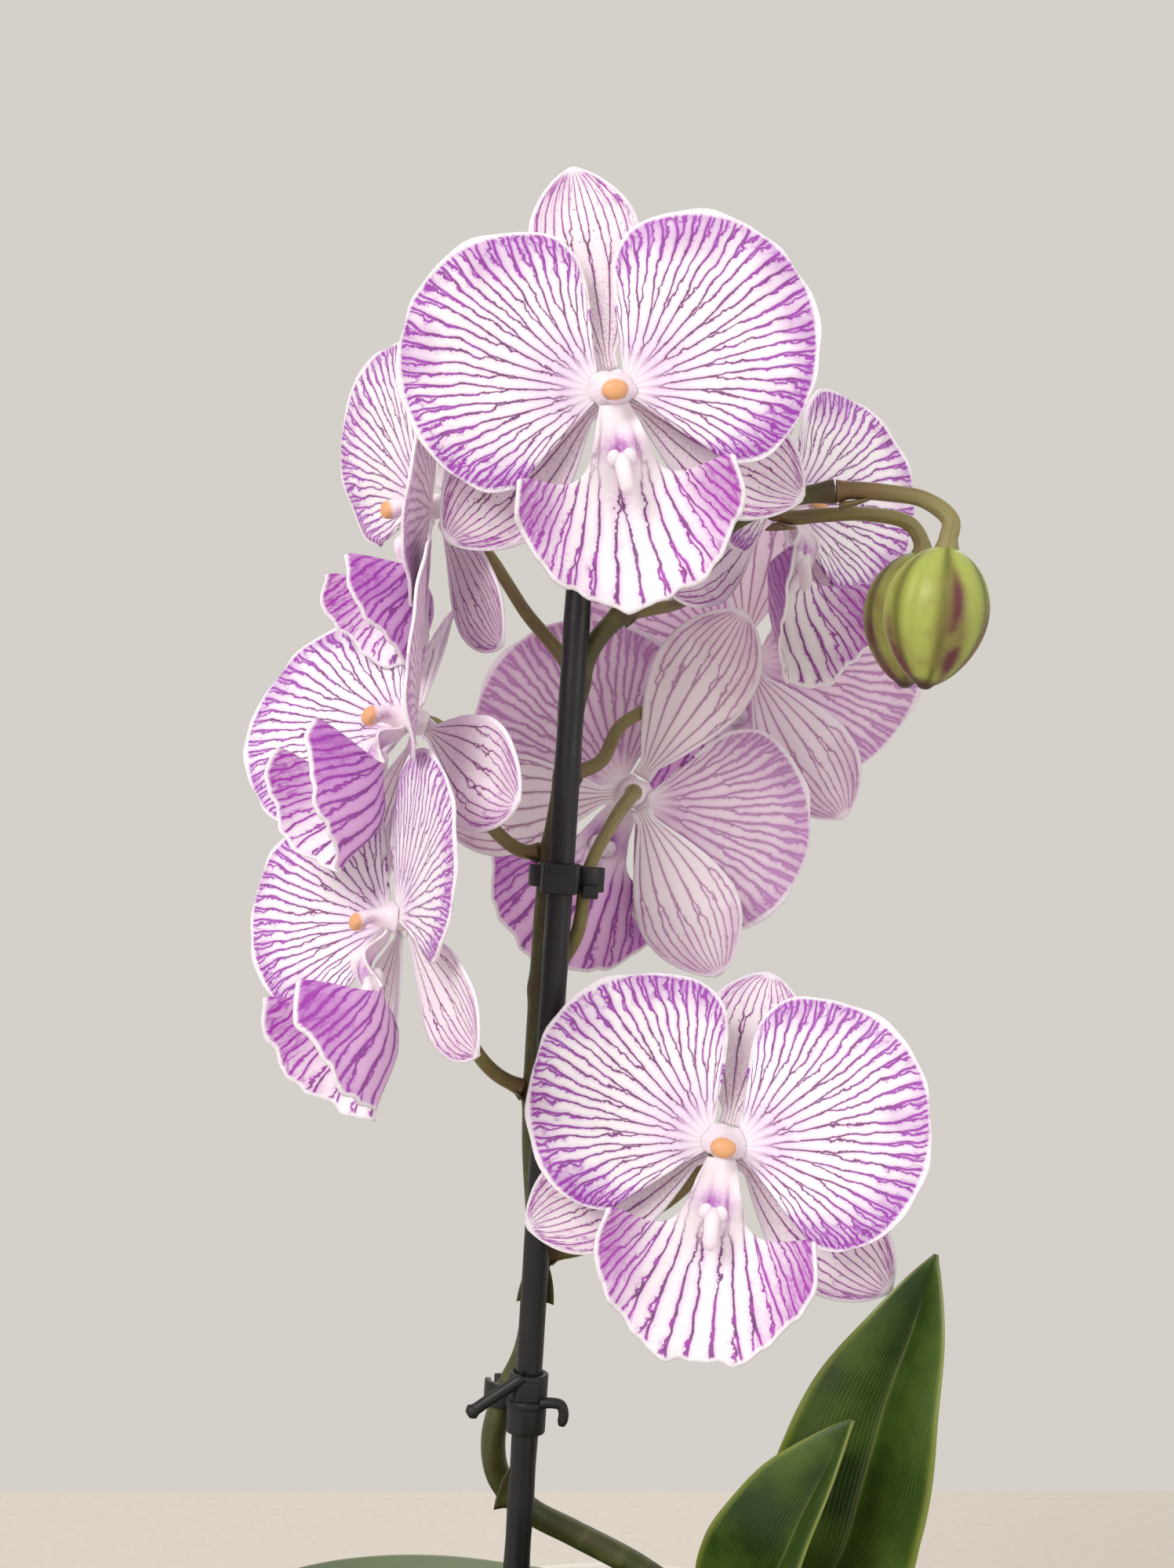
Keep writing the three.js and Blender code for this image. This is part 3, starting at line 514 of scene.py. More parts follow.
def sepal(direction, lean, length, seed):
    rows, columns = 40, 25
    t, s = sheet_grid(rows, columns)
    bulge = np.sin(np.pi * np.clip(t, 0, 0.9995) ** 1.45) ** 0.66
    half = np.maximum(bulge * SEPAL_HALF, np.maximum(2.4 * (1 - 0.7 * t), 0.15))
    half = half * (1 + 0.02 * wander(t * 40, seed, 5.0))
    root = HUB + 1.2
    reach = root + (SEPAL_LENGTH * length - root) * t
    z = -2 - lean * (reach - root)
    hump = np.sin(np.pi * t)
    z = z + 1.5 * hump * (s * half / SEPAL_HALF) ** 2 - 0.5 * np.exp(-(s * 4) ** 2) * hump
    z = z + 0.5 * wander(t * 30 + s * 4, seed + 3, 6.0) * t
    p = turned(np.stack([reach, s * half, z], axis=-1), direction)
    flat = np.stack([reach, s * half], axis=-1).reshape(-1, 2)
    edge = (half * (1 - np.abs(s))).ravel()
    edge = np.minimum(edge, (SEPAL_LENGTH * length - flat[:, 0]) * 0.6)
    phase = s * (1 - 0.12 * t) * math.pi * 6.6 + seed
    attributes = {
        "phase": phase.ravel(),
        "reach": np.clip(0.16 + 0.62 * t + 0.3 * np.abs(s) ** 2 * t, 0, 1).ravel(),
        "rim": edge,
        "spot": np.concatenate([flat, np.full((len(flat), 1), seed * 53.0)], axis=1),
        "mark": np.zeros(len(flat)),
        "pale": (smooth(t, 0.12, 0.0) * 0.5).ravel(),
    }
    return p.reshape(-1, 3), [face[::-1] for face in grid_faces(rows, columns)], attributes


def lip_point(s, t, fold):
    rim = rim_at(LIP_RIM, np.abs(s))
    reach = np.hypot(rim[..., 0], rim[..., 1] - LIP_HINGE)
    spread = 0.4 + 0.6 * smooth(t, 0.36, 1)
    angle = np.arctan2(rim[..., 0], LIP_HINGE - rim[..., 1]) * spread
    width = np.sin(angle) * reach * t + 3.2 * np.abs(s) * (1 - t)
    bend = fold * (0.6 + 0.6 * width / 25.6)
    keel = 2 + 5 * smooth(t, 0, 0.2) - 6 * smooth(t, 0.2, 0.55) + 5.5 * smooth(t, 0.6, 1)
    down = np.cos(angle) * reach * t
    return width, down, keel, bend, angle


def lip(fold, size, tilt, turn, seed):
    rows, columns = 52, 65
    t, s = sheet_grid(rows, columns)
    width, down, keel, bend, angle = lip_point(s, t, fold)
    ruffle = wander((s + 1) * 34, seed, 2.6)
    down = down * (1 + 0.03 * ruffle * t ** 3)
    rounding = 1 - 0.16 * smooth(np.abs(s), 0.80, 1.0) ** 2 * smooth(t, 0.5, 1.0)
    width, down = width * (1 + (rounding - 1) * 0.45), down * rounding
    keel = keel + 0.8 * ruffle * t ** 4 - 0.8 * np.exp(-(s * 4) ** 2) * smooth(t, 0.3, 0.6) * (1 - 0.6 * t)
    keel = keel + 1.6 * smooth(np.abs(s), 0.72, 1.0) * smooth(t, 0.6, 1.0)
    p = np.stack([np.sign(s) * width * np.cos(bend), -down, keel + width * np.sin(bend)], axis=-1)
    p = lip_frame(p, size, tilt, turn)
    flat = np.stack([np.sign(s) * width, -down], axis=-1).reshape(-1, 2)
    outline = flat.reshape(rows, columns, 2)[-1]
    edge = distance_to(flat, np.repeat(outline, 3, axis=0))
    phase = angle * np.sign(s) / 0.97 * math.pi * 7.4 + seed
    dist = np.hypot(flat[:, 0], flat[:, 1])
    corner = np.exp(-((np.abs(flat[:, 0]) - 22) / 7.0) ** 2 - ((-flat[:, 1] - 21.5) / 7.5) ** 2)
    claw = np.exp(-(((-flat[:, 1]) - 9.5) / 3.6) ** 2 - (flat[:, 0] / 5.5) ** 2)
    attributes = {
        "phase": phase.ravel(),
        "reach": np.clip(t * 0.55 + 0.45 * np.abs(s) * t, 0, 1).ravel(),
        "rim": edge,
        "spot": np.concatenate([flat, np.full((len(flat), 1), seed * 71.0)], axis=1),
        "mark": np.clip(0.52 * corner + 0.8 * claw, 0, 1),
        "pale": np.clip(smooth(dist, 20, 13) * (1 - claw) * 0.75, 0, 1),
    }
    return p.reshape(-1, 3), [face[::-1] for face in grid_faces(rows, columns)], attributes


def lip_frame(q, size, tilt, turn):
    """Points given on the flat lip (x, down, height) in the flower's frame."""
    q = np.asarray(q, float) * size
    c, k = math.cos(tilt), math.sin(tilt)
    p = np.stack([q[..., 0], q[..., 1] * c - q[..., 2] * k, q[..., 1] * k + q[..., 2] * c], axis=-1)
    p[..., 1] += LIP_HINGE
    return turned(p, turn)


def callus(size, tilt, turn):
    """The white tooth on the lip: two rounded humps and a blunt horn that points down the lip."""
    bodies = [ball((x, -11.0, 6.1), (1.7, 2.2, 1.8), 12, 16) for x in (-1.7, 1.7)]
    horn = catmull([(0, -11, 4.6), (0, -12.4, 6.6), (0.1, -14.6, 7.8), (0.3, -17, 8), (0.5, -19.2, 7.4)], 14)
    bodies.append(tube(horn, np.interp(np.linspace(0, 1, 14), [0, 0.35, 0.85, 1], [2.2, 1.7, 1.5, 0.7]))[:2])
    return [(lip_frame(v, size, tilt, turn), faces) for v, faces in bodies]


def column_parts(seed):
    """The column with its anther cap, the hub and the side marks, in the flower's frame."""
    parts = []
    profile = catmull(
        [(0.0, -3.4), (2.2, -3.2), (HUB, -2.2), (HUB, 0.9), (4.2, 1.4), (4.5, 1.55), (4.1, 1.8), (3.2, 2.5),
         (2.5, 3.9), (2.2, 6.0), (2.5, 8.2), (2.6, 9.6), (2.15, 11.1), (1.1, 11.8), (0.0, 11.95)], 64)
    rows, columns = len(profile), 28
    a = np.linspace(0, 2 * math.pi, columns, endpoint=False)
    x = profile[:, 0:1] * np.cos(a) * (1 + 0.10 * smooth(profile[:, 1:2], 3, 8))
    y = profile[:, 0:1] * np.sin(a) * (1 - 0.10 * smooth(profile[:, 1:2], 3, 8))
    z = profile[:, 1:2] * np.ones(columns)
    # the hollow of the stigma under the cap
    hollow = np.exp(-((z - 7.2) / 1.3) ** 2) * np.clip(-np.sin(a), 0, 1) ** 2
    x, y = x * (1 - 0.25 * hollow), y * (1 - 0.42 * hollow)
    y = y - 1.5 * smooth(z, 4, 12)
    # the foot runs out unevenly into the petals' claws
    foot = smooth(z, 0.9, 1.4) * smooth(z, 3.0, 1.6)
    waves = 0.13 * np.cos(2 * a + 0.3) + 0.07 * np.cos(5 * a + seed) + 0.04 * np.cos(9 * a + 2 * seed)
    uneven = 1 + foot * waves
    x, y = x * uneven, y * uneven
    v = np.stack([x, y, z], axis=-1).reshape(-1, 3)
    side = np.clip(np.abs(np.cos(a)) * np.clip(0.4 - np.sin(a), 0, 1), 0, 1)
    mark = (np.exp(-((z - 7.8) / 1.9) ** 2) * side + 0.2 * np.exp(-((z - 1.9) / 1.1) ** 2)).ravel()
    cap = (smooth(z - 0.5 * np.sin(a), 9.3, 10.6) * np.ones_like(x)).ravel()
    attributes = {"mark": mark * 0.9, "pale": cap, "spot": v + seed * 10.0}
    parts.append((v, grid_faces(rows, columns, wrap=True), attributes, 0))
    # two small wings beside the stigma and the notch of the anther cap
    for k in (-1, 1):
        bead, faces = ball((k * 1.5, -2.5, 9.6), (0.75, 0.8, 1.2), 10, 12)
        ones = np.ones(len(bead))
        parts.append((bead, faces, {"mark": 0.25 * ones, "pale": 0.55 * ones, "spot": bead}, 0))
    return parts


flowers = [
    dict(name="flower_1", at=(0, -22, 384.5), azimuth=2, elevation=-4, roll=7, size=0.96,
         cup=(6, 4), turn=(0, 0), sepals=(93, -35, 215), lean=(0.1, 0.1, 0.1),
         reach=(1.02, 1, 1), fold=18, lip=(1, 0, 0)),
    dict(name="flower_2", at=(23.5, -10, 230.5), azimuth=-4, elevation=12, roll=-9, size=0.96,
         cup=(12, 6), turn=(0, 0), sepals=(84, -32, 212), lean=(0.45, 0.1, 0.1),
         reach=(0.86, 1, 1), fold=20, lip=(1, 0, 0)),
    dict(name="flower_3", at=(-39.5, 14, 366), azimuth=-68, elevation=0, roll=-18, size=0.92,
         cup=(22, 12), turn=(0, 8), sepals=(90, -30, 214), lean=(0.12, 0.12, 0.12),
         reach=(1, 1, 1), fold=50, lip=(0.84, 0, 26)),
    dict(name="flower_4", at=(-42, 0, 318.5), azimuth=-62, elevation=12, roll=17, size=0.96,
         cup=(24, 34), turn=(0, -13), sepals=(108, -38, 220), lean=(0.3, 0.14, 0.14),
         reach=(0.72, 1, 1), fold=50, lip=(0.86, -14, 0)),
    dict(name="flower_5", at=(-44, -14, 277.5), azimuth=-64, elevation=4, roll=14, size=0.86,
         cup=(0, 34), turn=(8, -8), sepals=(96, -50, 222), lean=(0.12, 0.12, 0.12),
         reach=(0.86, 1, 1), fold=50, lip=(1.02, 0, 0)),
    dict(name="flower_6", at=(40, 34, 370), azimuth=52, elevation=0, roll=-8, size=0.94,
         cup=(14, 10), turn=(-6, 0), sepals=(98, -38, 218), lean=(0.1, -0.06, 0.1),
         reach=(1, 1, 1), fold=22, lip=(1, 0, 0)),
    dict(name="flower_7", at=(33, 62, 336), azimuth=176, elevation=0, roll=16, size=0.98,
         cup=(8, 8), turn=(-6, -14), sepals=(82, -34, 222), lean=(0.05, 0.1, 0.1),
         reach=(1, 1, 1), fold=20, lip=(1, 0, -8)),
    dict(name="flower_8", at=(5.5, 36, 303), azimuth=182, elevation=0, roll=36, size=0.98,
         cup=(8, 8), turn=(-6, -14), sepals=(84, -41, 209), lean=(0.55, 0.1, 0.1),
         reach=(1, 1, 1), fold=20, lip=(1, 0, -8)),
]


def flower_axes(f):
    a, e, r = (math.radians(f[k]) for k in ("azimuth", "elevation", "roll"))
    forward = np.array([math.sin(a) * math.cos(e), -math.cos(a) * math.cos(e), math.sin(e)])
    right = np.array([math.cos(a), math.sin(a), 0.0])
    up = np.cross(forward, right)
    x = right * math.cos(r) + up * math.sin(r)
    y = -right * math.sin(r) + up * math.cos(r)
    return np.stack([x, y, forward], axis=1) * f["size"]


def placed(f, points):
    return np.asarray(points) @ flower_axes(f).T + np.array(f["at"], float)


for number, f in enumerate(flowers):
    seed = number + 1.0

    def add_skin(part, parts, materials):
        """A thin piece of this flower from (verts, faces, attributes) in the flower's frame."""
        v, faces, attributes, _ = join_parts([(placed(f, v), faces, values, 0) for v, faces, values in parts])
        name = f"{f['name']}_{part}"
        obj = new_object(f"{name}_skin", v, faces, materials, name, attributes)
        m = obj.modifiers.new("thickness", "SOLIDIFY")
        m.thickness = SKIN * MM
        m.offset = 0.0
        m.material_offset = 1  # the back's material, on the inner side
        m.use_even_offset = False

    for part, side, k in (("petal_right", 1, 0), ("petal_left", -1, 1)):
        skin = petal(side, math.radians(f["cup"][k]), math.radians(f["turn"][k]), seed + 0.37 * k)
        add_skin(part, [skin], [PETAL_FRONT, PETAL_BACK])
    whorl = [sepal(math.radians(direction), lean, length, seed + 0.61 * k)
             for k, (direction, lean, length) in enumerate(zip(f["sepals"], f["lean"], f["reach"]))]
    add_skin("sepals", whorl, [SEPAL_FRONT, SEPAL_BACK])
    size, tilt, turn = f["lip"][0], math.radians(f["lip"][1]), math.radians(f["lip"][2])
    add_skin("lip", [lip(math.radians(f["fold"]), size, tilt, turn, seed)], [LIP_FRONT, LIP_BACK])
    v, faces, _, _ = join_parts([(placed(f, v), faces, {}, 0) for v, faces in callus(size, tilt, turn)])
    new_object(f"{f['name']}_callus", v, faces, [COLUMN])

# ------------------------------------------------------------------ stem, stalks and bracts

STEM_LINE = catmull(
    [(24, 5, 121), (16, 8, 128), (6, 9, 135), (-8, 11.5, 141.5), (-17.5, 11.5, 146.5), (-24, 9, 154.5),
     (-25.2, 6.5, 164), (-22.8, 6.4, 173), (-18.2, 6.6, 183), (-15.6, 6.6, 203), (-16.6, 6.2, 230),
     (-15, 5.8, 264), (-13.4, 5.9, 285), (-9.6, 6.3, 308), (-4.6, 5.4, 333), (3, 1.5, 342), (12, -2.5, 349),
     (26.5, -5, 360.5), (38, -6, 365), (46.8, -6.5, 366.3)],
    420,
)
CLIPPED = (-4.8, 4.5, 286)
STALKS = {
    "flower_1": (347, [(9, 3, 362), (4, -4, 379)]),
    "flower_2": (203, [(-6, 3, 205.7), (2, 2.5, 209.5), (14, 3, 217), (22, 1, 226)]),
    "flower_3": (326, [(-11, 8.6, 333.5), (-18, 11, 342), (-25, 14.5, 353), (-32, 17, 362.5)]),
    "flower_4": (291, [(-19, 8, 290.5), (-26, 10.5, 296), (-31, 10, 306), (-34, 6, 313.5)]),
    "flower_5": (238, [(-24.5, 3, 243), (-29.5, -1, 250), (-34, -6, 264), (-38.5, -10.5, 274)]),
    "flower_6": (341.5, [(8.5, 9, 343), (18, 24, 347), (28, 38, 358), (35, 38.5, 367)]),
    "flower_7": (307, [(-2, 16.5, 310), (3, 26.5, 318.5), (17.5, 37, 326), (25, 49, 331)]),
    "flower_8": (261, [(-7.5, 4.4, 272), CLIPPED, (1, 17, 297), (4.4, 27, 301.5)]),
}


def stem_at(height):
    return STEM_LINE[np.argmin(np.abs(STEM_LINE[:, 2] - height))]


def stem_radius(share):
    return 2.9 + (1.9 - 2.9) * share


def bract(foot, direction, side, size):
    """A small pointed scale that sits under a stalk's foot and hugs it."""
    d = np.asarray(direction, float)
    d = d / np.linalg.norm(d)
    across = np.cross(d, np.asarray(side, float))
    across /= np.linalg.norm(across)
    out = np.cross(across, d)
    rows, columns = 14, 11
    t, u = sheet_grid(rows, columns)
    half = size * 0.42 * np.sqrt(np.clip(1 - t ** 1.6, 0.004, 1))
    wrap = 1.1 * u * (1 - 0.6 * t)
    lift = size * 0.34 * (1 - np.cos(wrap)) - size * 0.10 * t ** 2
    p = np.asarray(foot, float) + t[..., None] * size * d + (half * u)[..., None] * across + lift[..., None] * out
    outer = p.reshape(-1, 3)
    inner = outer + out * 0.35
    faces = grid_faces(rows, columns)
    count = len(outer)
    back = [tuple(i + count for i in face[::-1]) for face in faces]
    rim = [(a, a + count, b + count, b) for a, b in border(rows, columns)]
    run = np.concatenate([t.ravel(), t.ravel()])
    values = {"run": run, "mm": run * size, "mark": 0.35 + 0.5 * run}
    return np.vstack([outer, inner]), faces + back + rim, values


share = np.linspace(0, 1, len(STEM_LINE))
thick = stem_radius(share)
mark = np.zeros(len(share))
for name, (height, way) in STALKS.items():
    at = np.argmin(np.abs(STEM_LINE[:, 2] - height))
    far = np.linalg.norm(STEM_LINE - STEM_LINE[at], axis=1)
    thick = thick + 0.42 * np.exp(-(far / 2.6) ** 2)
    mark = mark + 0.7 * np.exp(-(far / 2.2) ** 2)
# joints without a stalk on the bare lower part, and the swollen end
for height in (150, 196):
    far = np.linalg.norm(STEM_LINE - stem_at(height), axis=1)
    thick = thick + 0.35 * np.exp(-(far / 1.8) ** 2)
    mark = mark + 0.9 * np.exp(-(far / 1.3) ** 2)
end = np.linalg.norm(STEM_LINE - STEM_LINE[-1], axis=1)
thick = thick + 0.75 * np.exp(-(end / 3.2) ** 2)
mark = np.clip(mark + np.exp(-(end / 3.6) ** 2), 0, 1)
parts = []
v, faces, attributes = tube(STEM_LINE, thick, 20)
attributes["mark"] = np.concatenate([np.repeat(mark, 20), [1, 1]])
parts.append((v, faces, attributes, 0))
for name, (height, way) in STALKS.items():
    foot = stem_at(height)
    toward = np.array(way[0], float) - foot
    along = STEM_LINE[min(np.argmin(np.abs(STEM_LINE[:, 2] - height)) + 4, 419)] - foot
    toward /= np.linalg.norm(toward)
    base = foot + toward * 2.0 - along / np.linalg.norm(along) * 1.9
    v, faces, attributes = bract(base, toward + 0.3 * along / np.linalg.norm(along), toward, 5.0)
    parts.append((v, faces, attributes, 0))
for height in (150, 196):
    foot = stem_at(height)
    v, faces, attributes = bract(foot + np.array([0, -3.1, -1.5]), (0.1, -0.1, 1), (0, -1, 0), 9.5)
    attributes["mark"] = attributes["mark"] * 0.6
    parts.append((v, faces, attributes, 0))
v, faces, attributes, _ = join_parts(parts)
new_object("stem_skin", v, faces, [STEM], "stem", attributes)

for number, f in enumerate(flowers):
    axes = flower_axes(f)
    forward = axes[:, 2] / f["size"]
    at = np.array(f["at"], float)
    height, way = STALKS[f["name"]]
    foot = stem_at(height)
    line = catmull([foot, *way, at - forward * 6 * f["size"], at - forward * 2.6 * f["size"]], 120)
    clear = np.array([np.min(np.linalg.norm(STEM_LINE - q, axis=1)) for q in line]) > 2.5
    start = int(np.argmax(clear))
    line = line[start:]
    run = np.linspace(0, 1, len(line))
    radius = np.interp(run, [0, 0.06, 0.5, 0.92, 1], [2.0, 1.6, 1.4, 1.65, 2.1])
    v, faces, attributes = tube(line, radius, 16)
    attributes["mark"] = np.concatenate([np.repeat(np.exp(-(run / 0.05) ** 2) * 0.6, 16), [0, 0]])
    parts = [(v, faces, attributes, 1)]
    for cv, cf, ca, _ in column_parts(number + 1.0):
        parts.append((placed(f, cv), cf, ca, 0))
    v, faces, attributes, index = join_parts(parts)
    name = f"{f['name']}_column"
    new_object(f"{name}_skin", v, faces, [COLUMN, STALK], name, attributes, index)

# ------------------------------------------------------------------ buds


def bud_material():
    n = Nodes("bud_skin")
    at = n.object_position()
    run = n.attribute("run")
    rib = n.attribute("rib")
    mottle = n.noise(at, 190.0, 4.0)
    color = n.mix(n.ramp(rib, 0.2, 0.95), linear(112, 118, 44), linear(166, 176, 84))
    color = n.mix(n.ramp(mottle, 0.46, 0.72, 0.0, 0.45), color, linear(142, 128, 70))
    color = n.mix(n.attribute("mark") * n.ramp(mottle, 0.3, 0.6, 0.6, 1.0), color, linear(98, 44, 52))
    color = n.mix(n.ramp(run, 0.93, 0.995), color, linear(70, 50, 34))
    n.bump(mottle + n.noise(at, 900.0) * 0.3, 0.25, 0.0004)
    return n.finish(color, mottle, (0.36, 0.5), 0.14, (0.9, 1.0, 0.4), 0.002)


BUD = bud_material()
BUDS = [
    dict(name="bud_front", middle=(66.8, -13, 339.5), tip=(-0.16, 0.02, -1), radius=1.9,
         stalk=[(47.15, -6.55, 366.3), (51, -6.9, 366.4), (57, -8, 365.8), (65, -10, 364), (70, -12, 359.5)]),
    dict(name="bud_rear", middle=(66, 10.5, 341), tip=(-0.12, 0.05, -1), radius=1.65,
         stalk=[(33, -5.5, 363), (38, 0.5, 361.8), (46, 3, 362.6), (56, 6.5, 363.2), (65, 9, 361.5)]),
]
# the angle from the front, the half width and the height from -1 to 1 where each maroon streak starts
BUD_STREAKS = ((0.26, 0.34, -0.95), (1.25, 0.20, -0.6), (-1.3, 0.22, -0.2), (2.9, 0.3, -0.3))
for number, b in enumerate(BUDS):
    down = np.array(b["tip"], float)
    down /= np.linalg.norm(down)
    rows, columns = 64, 96
    # run 0 at the stalk and 1 at the tip
    h, a = round_grid(rows, columns)
    plump = 1 - 0.1 * h - 0.14 * h * h
    rib = np.abs(np.cos(3 * a + 0.7 + number + 0.25 * h)) ** 0.6
    ribbed = 1 + 0.05 * (rib - 0.8) * np.clip(1 - h * h, 0, 1) ** 0.5
    seam = np.exp(-((np.mod(a - 0.6, 2 * math.pi / 3) - 0.35) / 0.07) ** 2)
    radius = np.sqrt(np.clip(1 - h * h, 0, 1)) * plump * ribbed * 10.75 * (1 - 0.035 * seam)
    p = np.stack([radius * np.cos(a), radius * np.sin(a), h * 14.5], axis=-1)
    p[..., 2] += 0.7 * np.exp(-((h - 1) / 0.02) ** 2)
    spin = np.array(Vector((0, 0, 1)).rotation_difference(Vector(down)).to_matrix())
    p = p.reshape(-1, 3) @ spin.T + np.array(b["middle"], float)
    around = np.arctan2(p[:, 0] - b["middle"][0], b["middle"][1] - p[:, 1]).reshape(h.shape)
    streak = 0
    for centre, wide, start in BUD_STREAKS:
        off = np.mod(around - centre + math.pi, 2 * math.pi) - math.pi
        widening = wide * (0.35 + 0.65 * smooth(h, -0.6, 0.7))
        streak = streak + np.exp(-(off / widening) ** 2) * smooth(h, start, start + 0.7)
    streak = np.clip(1.1 * streak.ravel() + 0.35 * number, 0, 1)
    values = {"run": (h.ravel() + 1) / 2, "rib": rib.ravel(), "mark": streak}
    parts = [(p, grid_faces(rows, columns, wrap=True), values, 0)]
    mid = np.array(b["middle"], float)
    neck = mid - down * 16
    line = catmull([*b["stalk"], neck, mid - down * 12.7], 110)
    if number:
        clear = np.array([np.min(np.linalg.norm(STEM_LINE - q, axis=1)) for q in line]) > 2.4
        line = line[int(np.argmax(clear)):]
    run = np.linspace(0, 1, len(line))
    thick = b["radius"] * np.interp(run, [0, 0.08, 0.5, 0.9, 1], [1.3, 1.0, 0.92, 1.05, 1.6])
    v, faces, attributes = tube(line, thick, 18)
    attributes["mark"] = np.concatenate([np.repeat(np.exp(-(run / 0.35) ** 2) * 0.8, 18), [0, 0]])
    parts.append((v, faces, attributes, 1))
    v, faces, attributes = bract(line[2] + np.array([0, 0, -2.2]), line[12] - line[2], (0, 0, -1), 6.5)
    parts.append((v, faces, attributes, 1))
    v, faces, attributes, index = join_parts(parts)
    new_object(f"{b['name']}_skin", v, faces, [BUD, STALK], b["name"], attributes, index)

# ------------------------------------------------------------------ stake and clips


def plastic_material(name, color, roughness, scale):
    n = Nodes(name)
    at = n.object_position()
    grain = n.noise(at, scale, 3.0)
    scuff = n.noise(at, 60.0, 4.0)
    tint = n.mix(n.ramp(scuff, 0.5, 0.8, 0.0, 0.5), color, tuple(min(1.0, c * 2.4 + 0.01) for c in color))
    n.bump(grain, 0.25, 0.0002)
    return n.finish(tint, scuff, (roughness - 0.08, roughness + 0.12), specular=0.45)


BLACK = plastic_material("black_coating", linear(17, 17, 19), 0.42, 1500.0)
CLIP = plastic_material("black_clip", linear(20, 20, 22), 0.48, 2400.0)

LEAN = math.radians(3.65)
STAKE_FOOT = np.array([-28.0, 0.0, 13.0])
STAKE_LENGTH = 340 / math.cos(LEAN)


def on_stake(points, height):
    """From the clip's own frame, with Z along the stake, to the plant's."""
    q = np.asarray(points, float)
    c, k = math.cos(LEAN), math.sin(LEAN)
    rise = height - STAKE_FOOT[2]
    at = np.array([STAKE_FOOT[0] + rise * math.tan(LEAN), 0.0, height])
    return np.stack([q[..., 0] * c + q[..., 2] * k, q[..., 1], -q[..., 0] * k + q[..., 2] * c], axis=-1) + at


def lathe(profile, columns):
    """profile is (radius, z) pairs; closes on the axis where the radius is 0."""
    profile = np.asarray(profile, float)
    a = np.linspace(0, 2 * math.pi, columns, endpoint=False)
    x = profile[:, 0:1] * np.cos(a)
    y = profile[:, 0:1] * np.sin(a)
    z = profile[:, 1:2] * np.ones(columns)
    return np.stack([x, y, z], axis=-1).reshape(-1, 3), grid_faces(len(profile), columns, wrap=True)


tip = [(STAKE_RADIUS - 1.54 * (1 - k) ** 1.3, 7 * k) for k in np.linspace(0.1, 1, 8)]
profile = [(0, 0), (1.26, 0)] + tip
rings = np.linspace(9, STAKE_LENGTH - 2.5, 130)
profile += [(STAKE_RADIUS + 0.035 * math.sin(k * 2.9) + 0.03 * math.sin(k * 0.37), k) for k in rings]
profile += [(STAKE_RADIUS, STAKE_LENGTH - 1.5), (2.6, STAKE_LENGTH - 0.5), (2.0, STAKE_LENGTH), (0, STAKE_LENGTH)]
v, faces = lathe(profile, 28)
new_object("stake_skin", on_stake(v, 13.0), faces, [BLACK], "stake")


def sleeve_part(x, y, inner, outer, height, gap=None):
    """A plastic sleeve with rounded rims; gap is the (middle, half) angle left open in degrees."""
    half = height / 2
    r = min(0.35, (outer - inner) / 2.5)
    profile = [(inner, -half + r), (inner + r * 0.4, -half + r * 0.2), (inner + r, -half), (outer - r, -half),
               (outer - r * 0.3, -half + r * 0.3), (outer, -half + r), (outer, half - r),
               (outer - r * 0.3, half - r * 0.3), (outer - r, half), (inner + r, half),
               (inner + r * 0.4, half - r * 0.2), (inner, half - r)]
    profile = np.array(profile)
    if gap is None:
        a = np.linspace(0, 2 * math.pi, 40, endpoint=False)
    else:
        a = np.radians(np.linspace(gap[0] + gap[1], gap[0] + 360 - gap[1], 34))
    a_column, r_row = a[:, None], profile[:, 0][None]
    ring = np.stack([x + r_row * np.cos(a_column), y + r_row * np.sin(a_column),
                     np.ones(len(a))[:, None] * profile[:, 1][None]], axis=-1)
    count = len(profile)
    faces = []
    rows = len(a)
    for i in range(rows if gap is None else rows - 1):
        for j in range(count):
            p0, p1 = i * count + j, i * count + (j + 1) % count
            q0, q1 = ((i + 1) % rows) * count + j, ((i + 1) % rows) * count + (j + 1) % count
            faces.append((p0, q0, q1, p1))
    if gap is not None:
        faces.append(tuple(range(count)))
        faces.append(tuple((rows - 1) * count + j for j in range(count - 1, -1, -1)))
    return ring.reshape(-1, 3), faces, {}, 0


def box_part(centre, size, bevel=0.3):
    mesh = bpy.data.meshes.new("scratch")
    bm = bmesh.new()
    bmesh.ops.create_cube(bm, size=1.0)
    bmesh.ops.scale(bm, vec=size, verts=bm.verts)
    bmesh.ops.bevel(bm, geom=bm.edges[:] + bm.verts[:], offset=bevel, segments=3, profile=0.6, affect="EDGES")
    bmesh.ops.translate(bm, vec=centre, verts=bm.verts)
    bm.to_mesh(mesh)
    bm.free()
    v = np.array([tuple(q.co) for q in mesh.vertices])
    f = [tuple(q.vertices) for q in mesh.polygons]
    bpy.data.meshes.remove(mesh)
    return v, f, {}, 0


def beside(height, point):
    rise = height - STAKE_FOOT[2]
    return np.array(point[:2]) - np.array([STAKE_FOOT[0] + rise * math.tan(LEAN), 0.0])


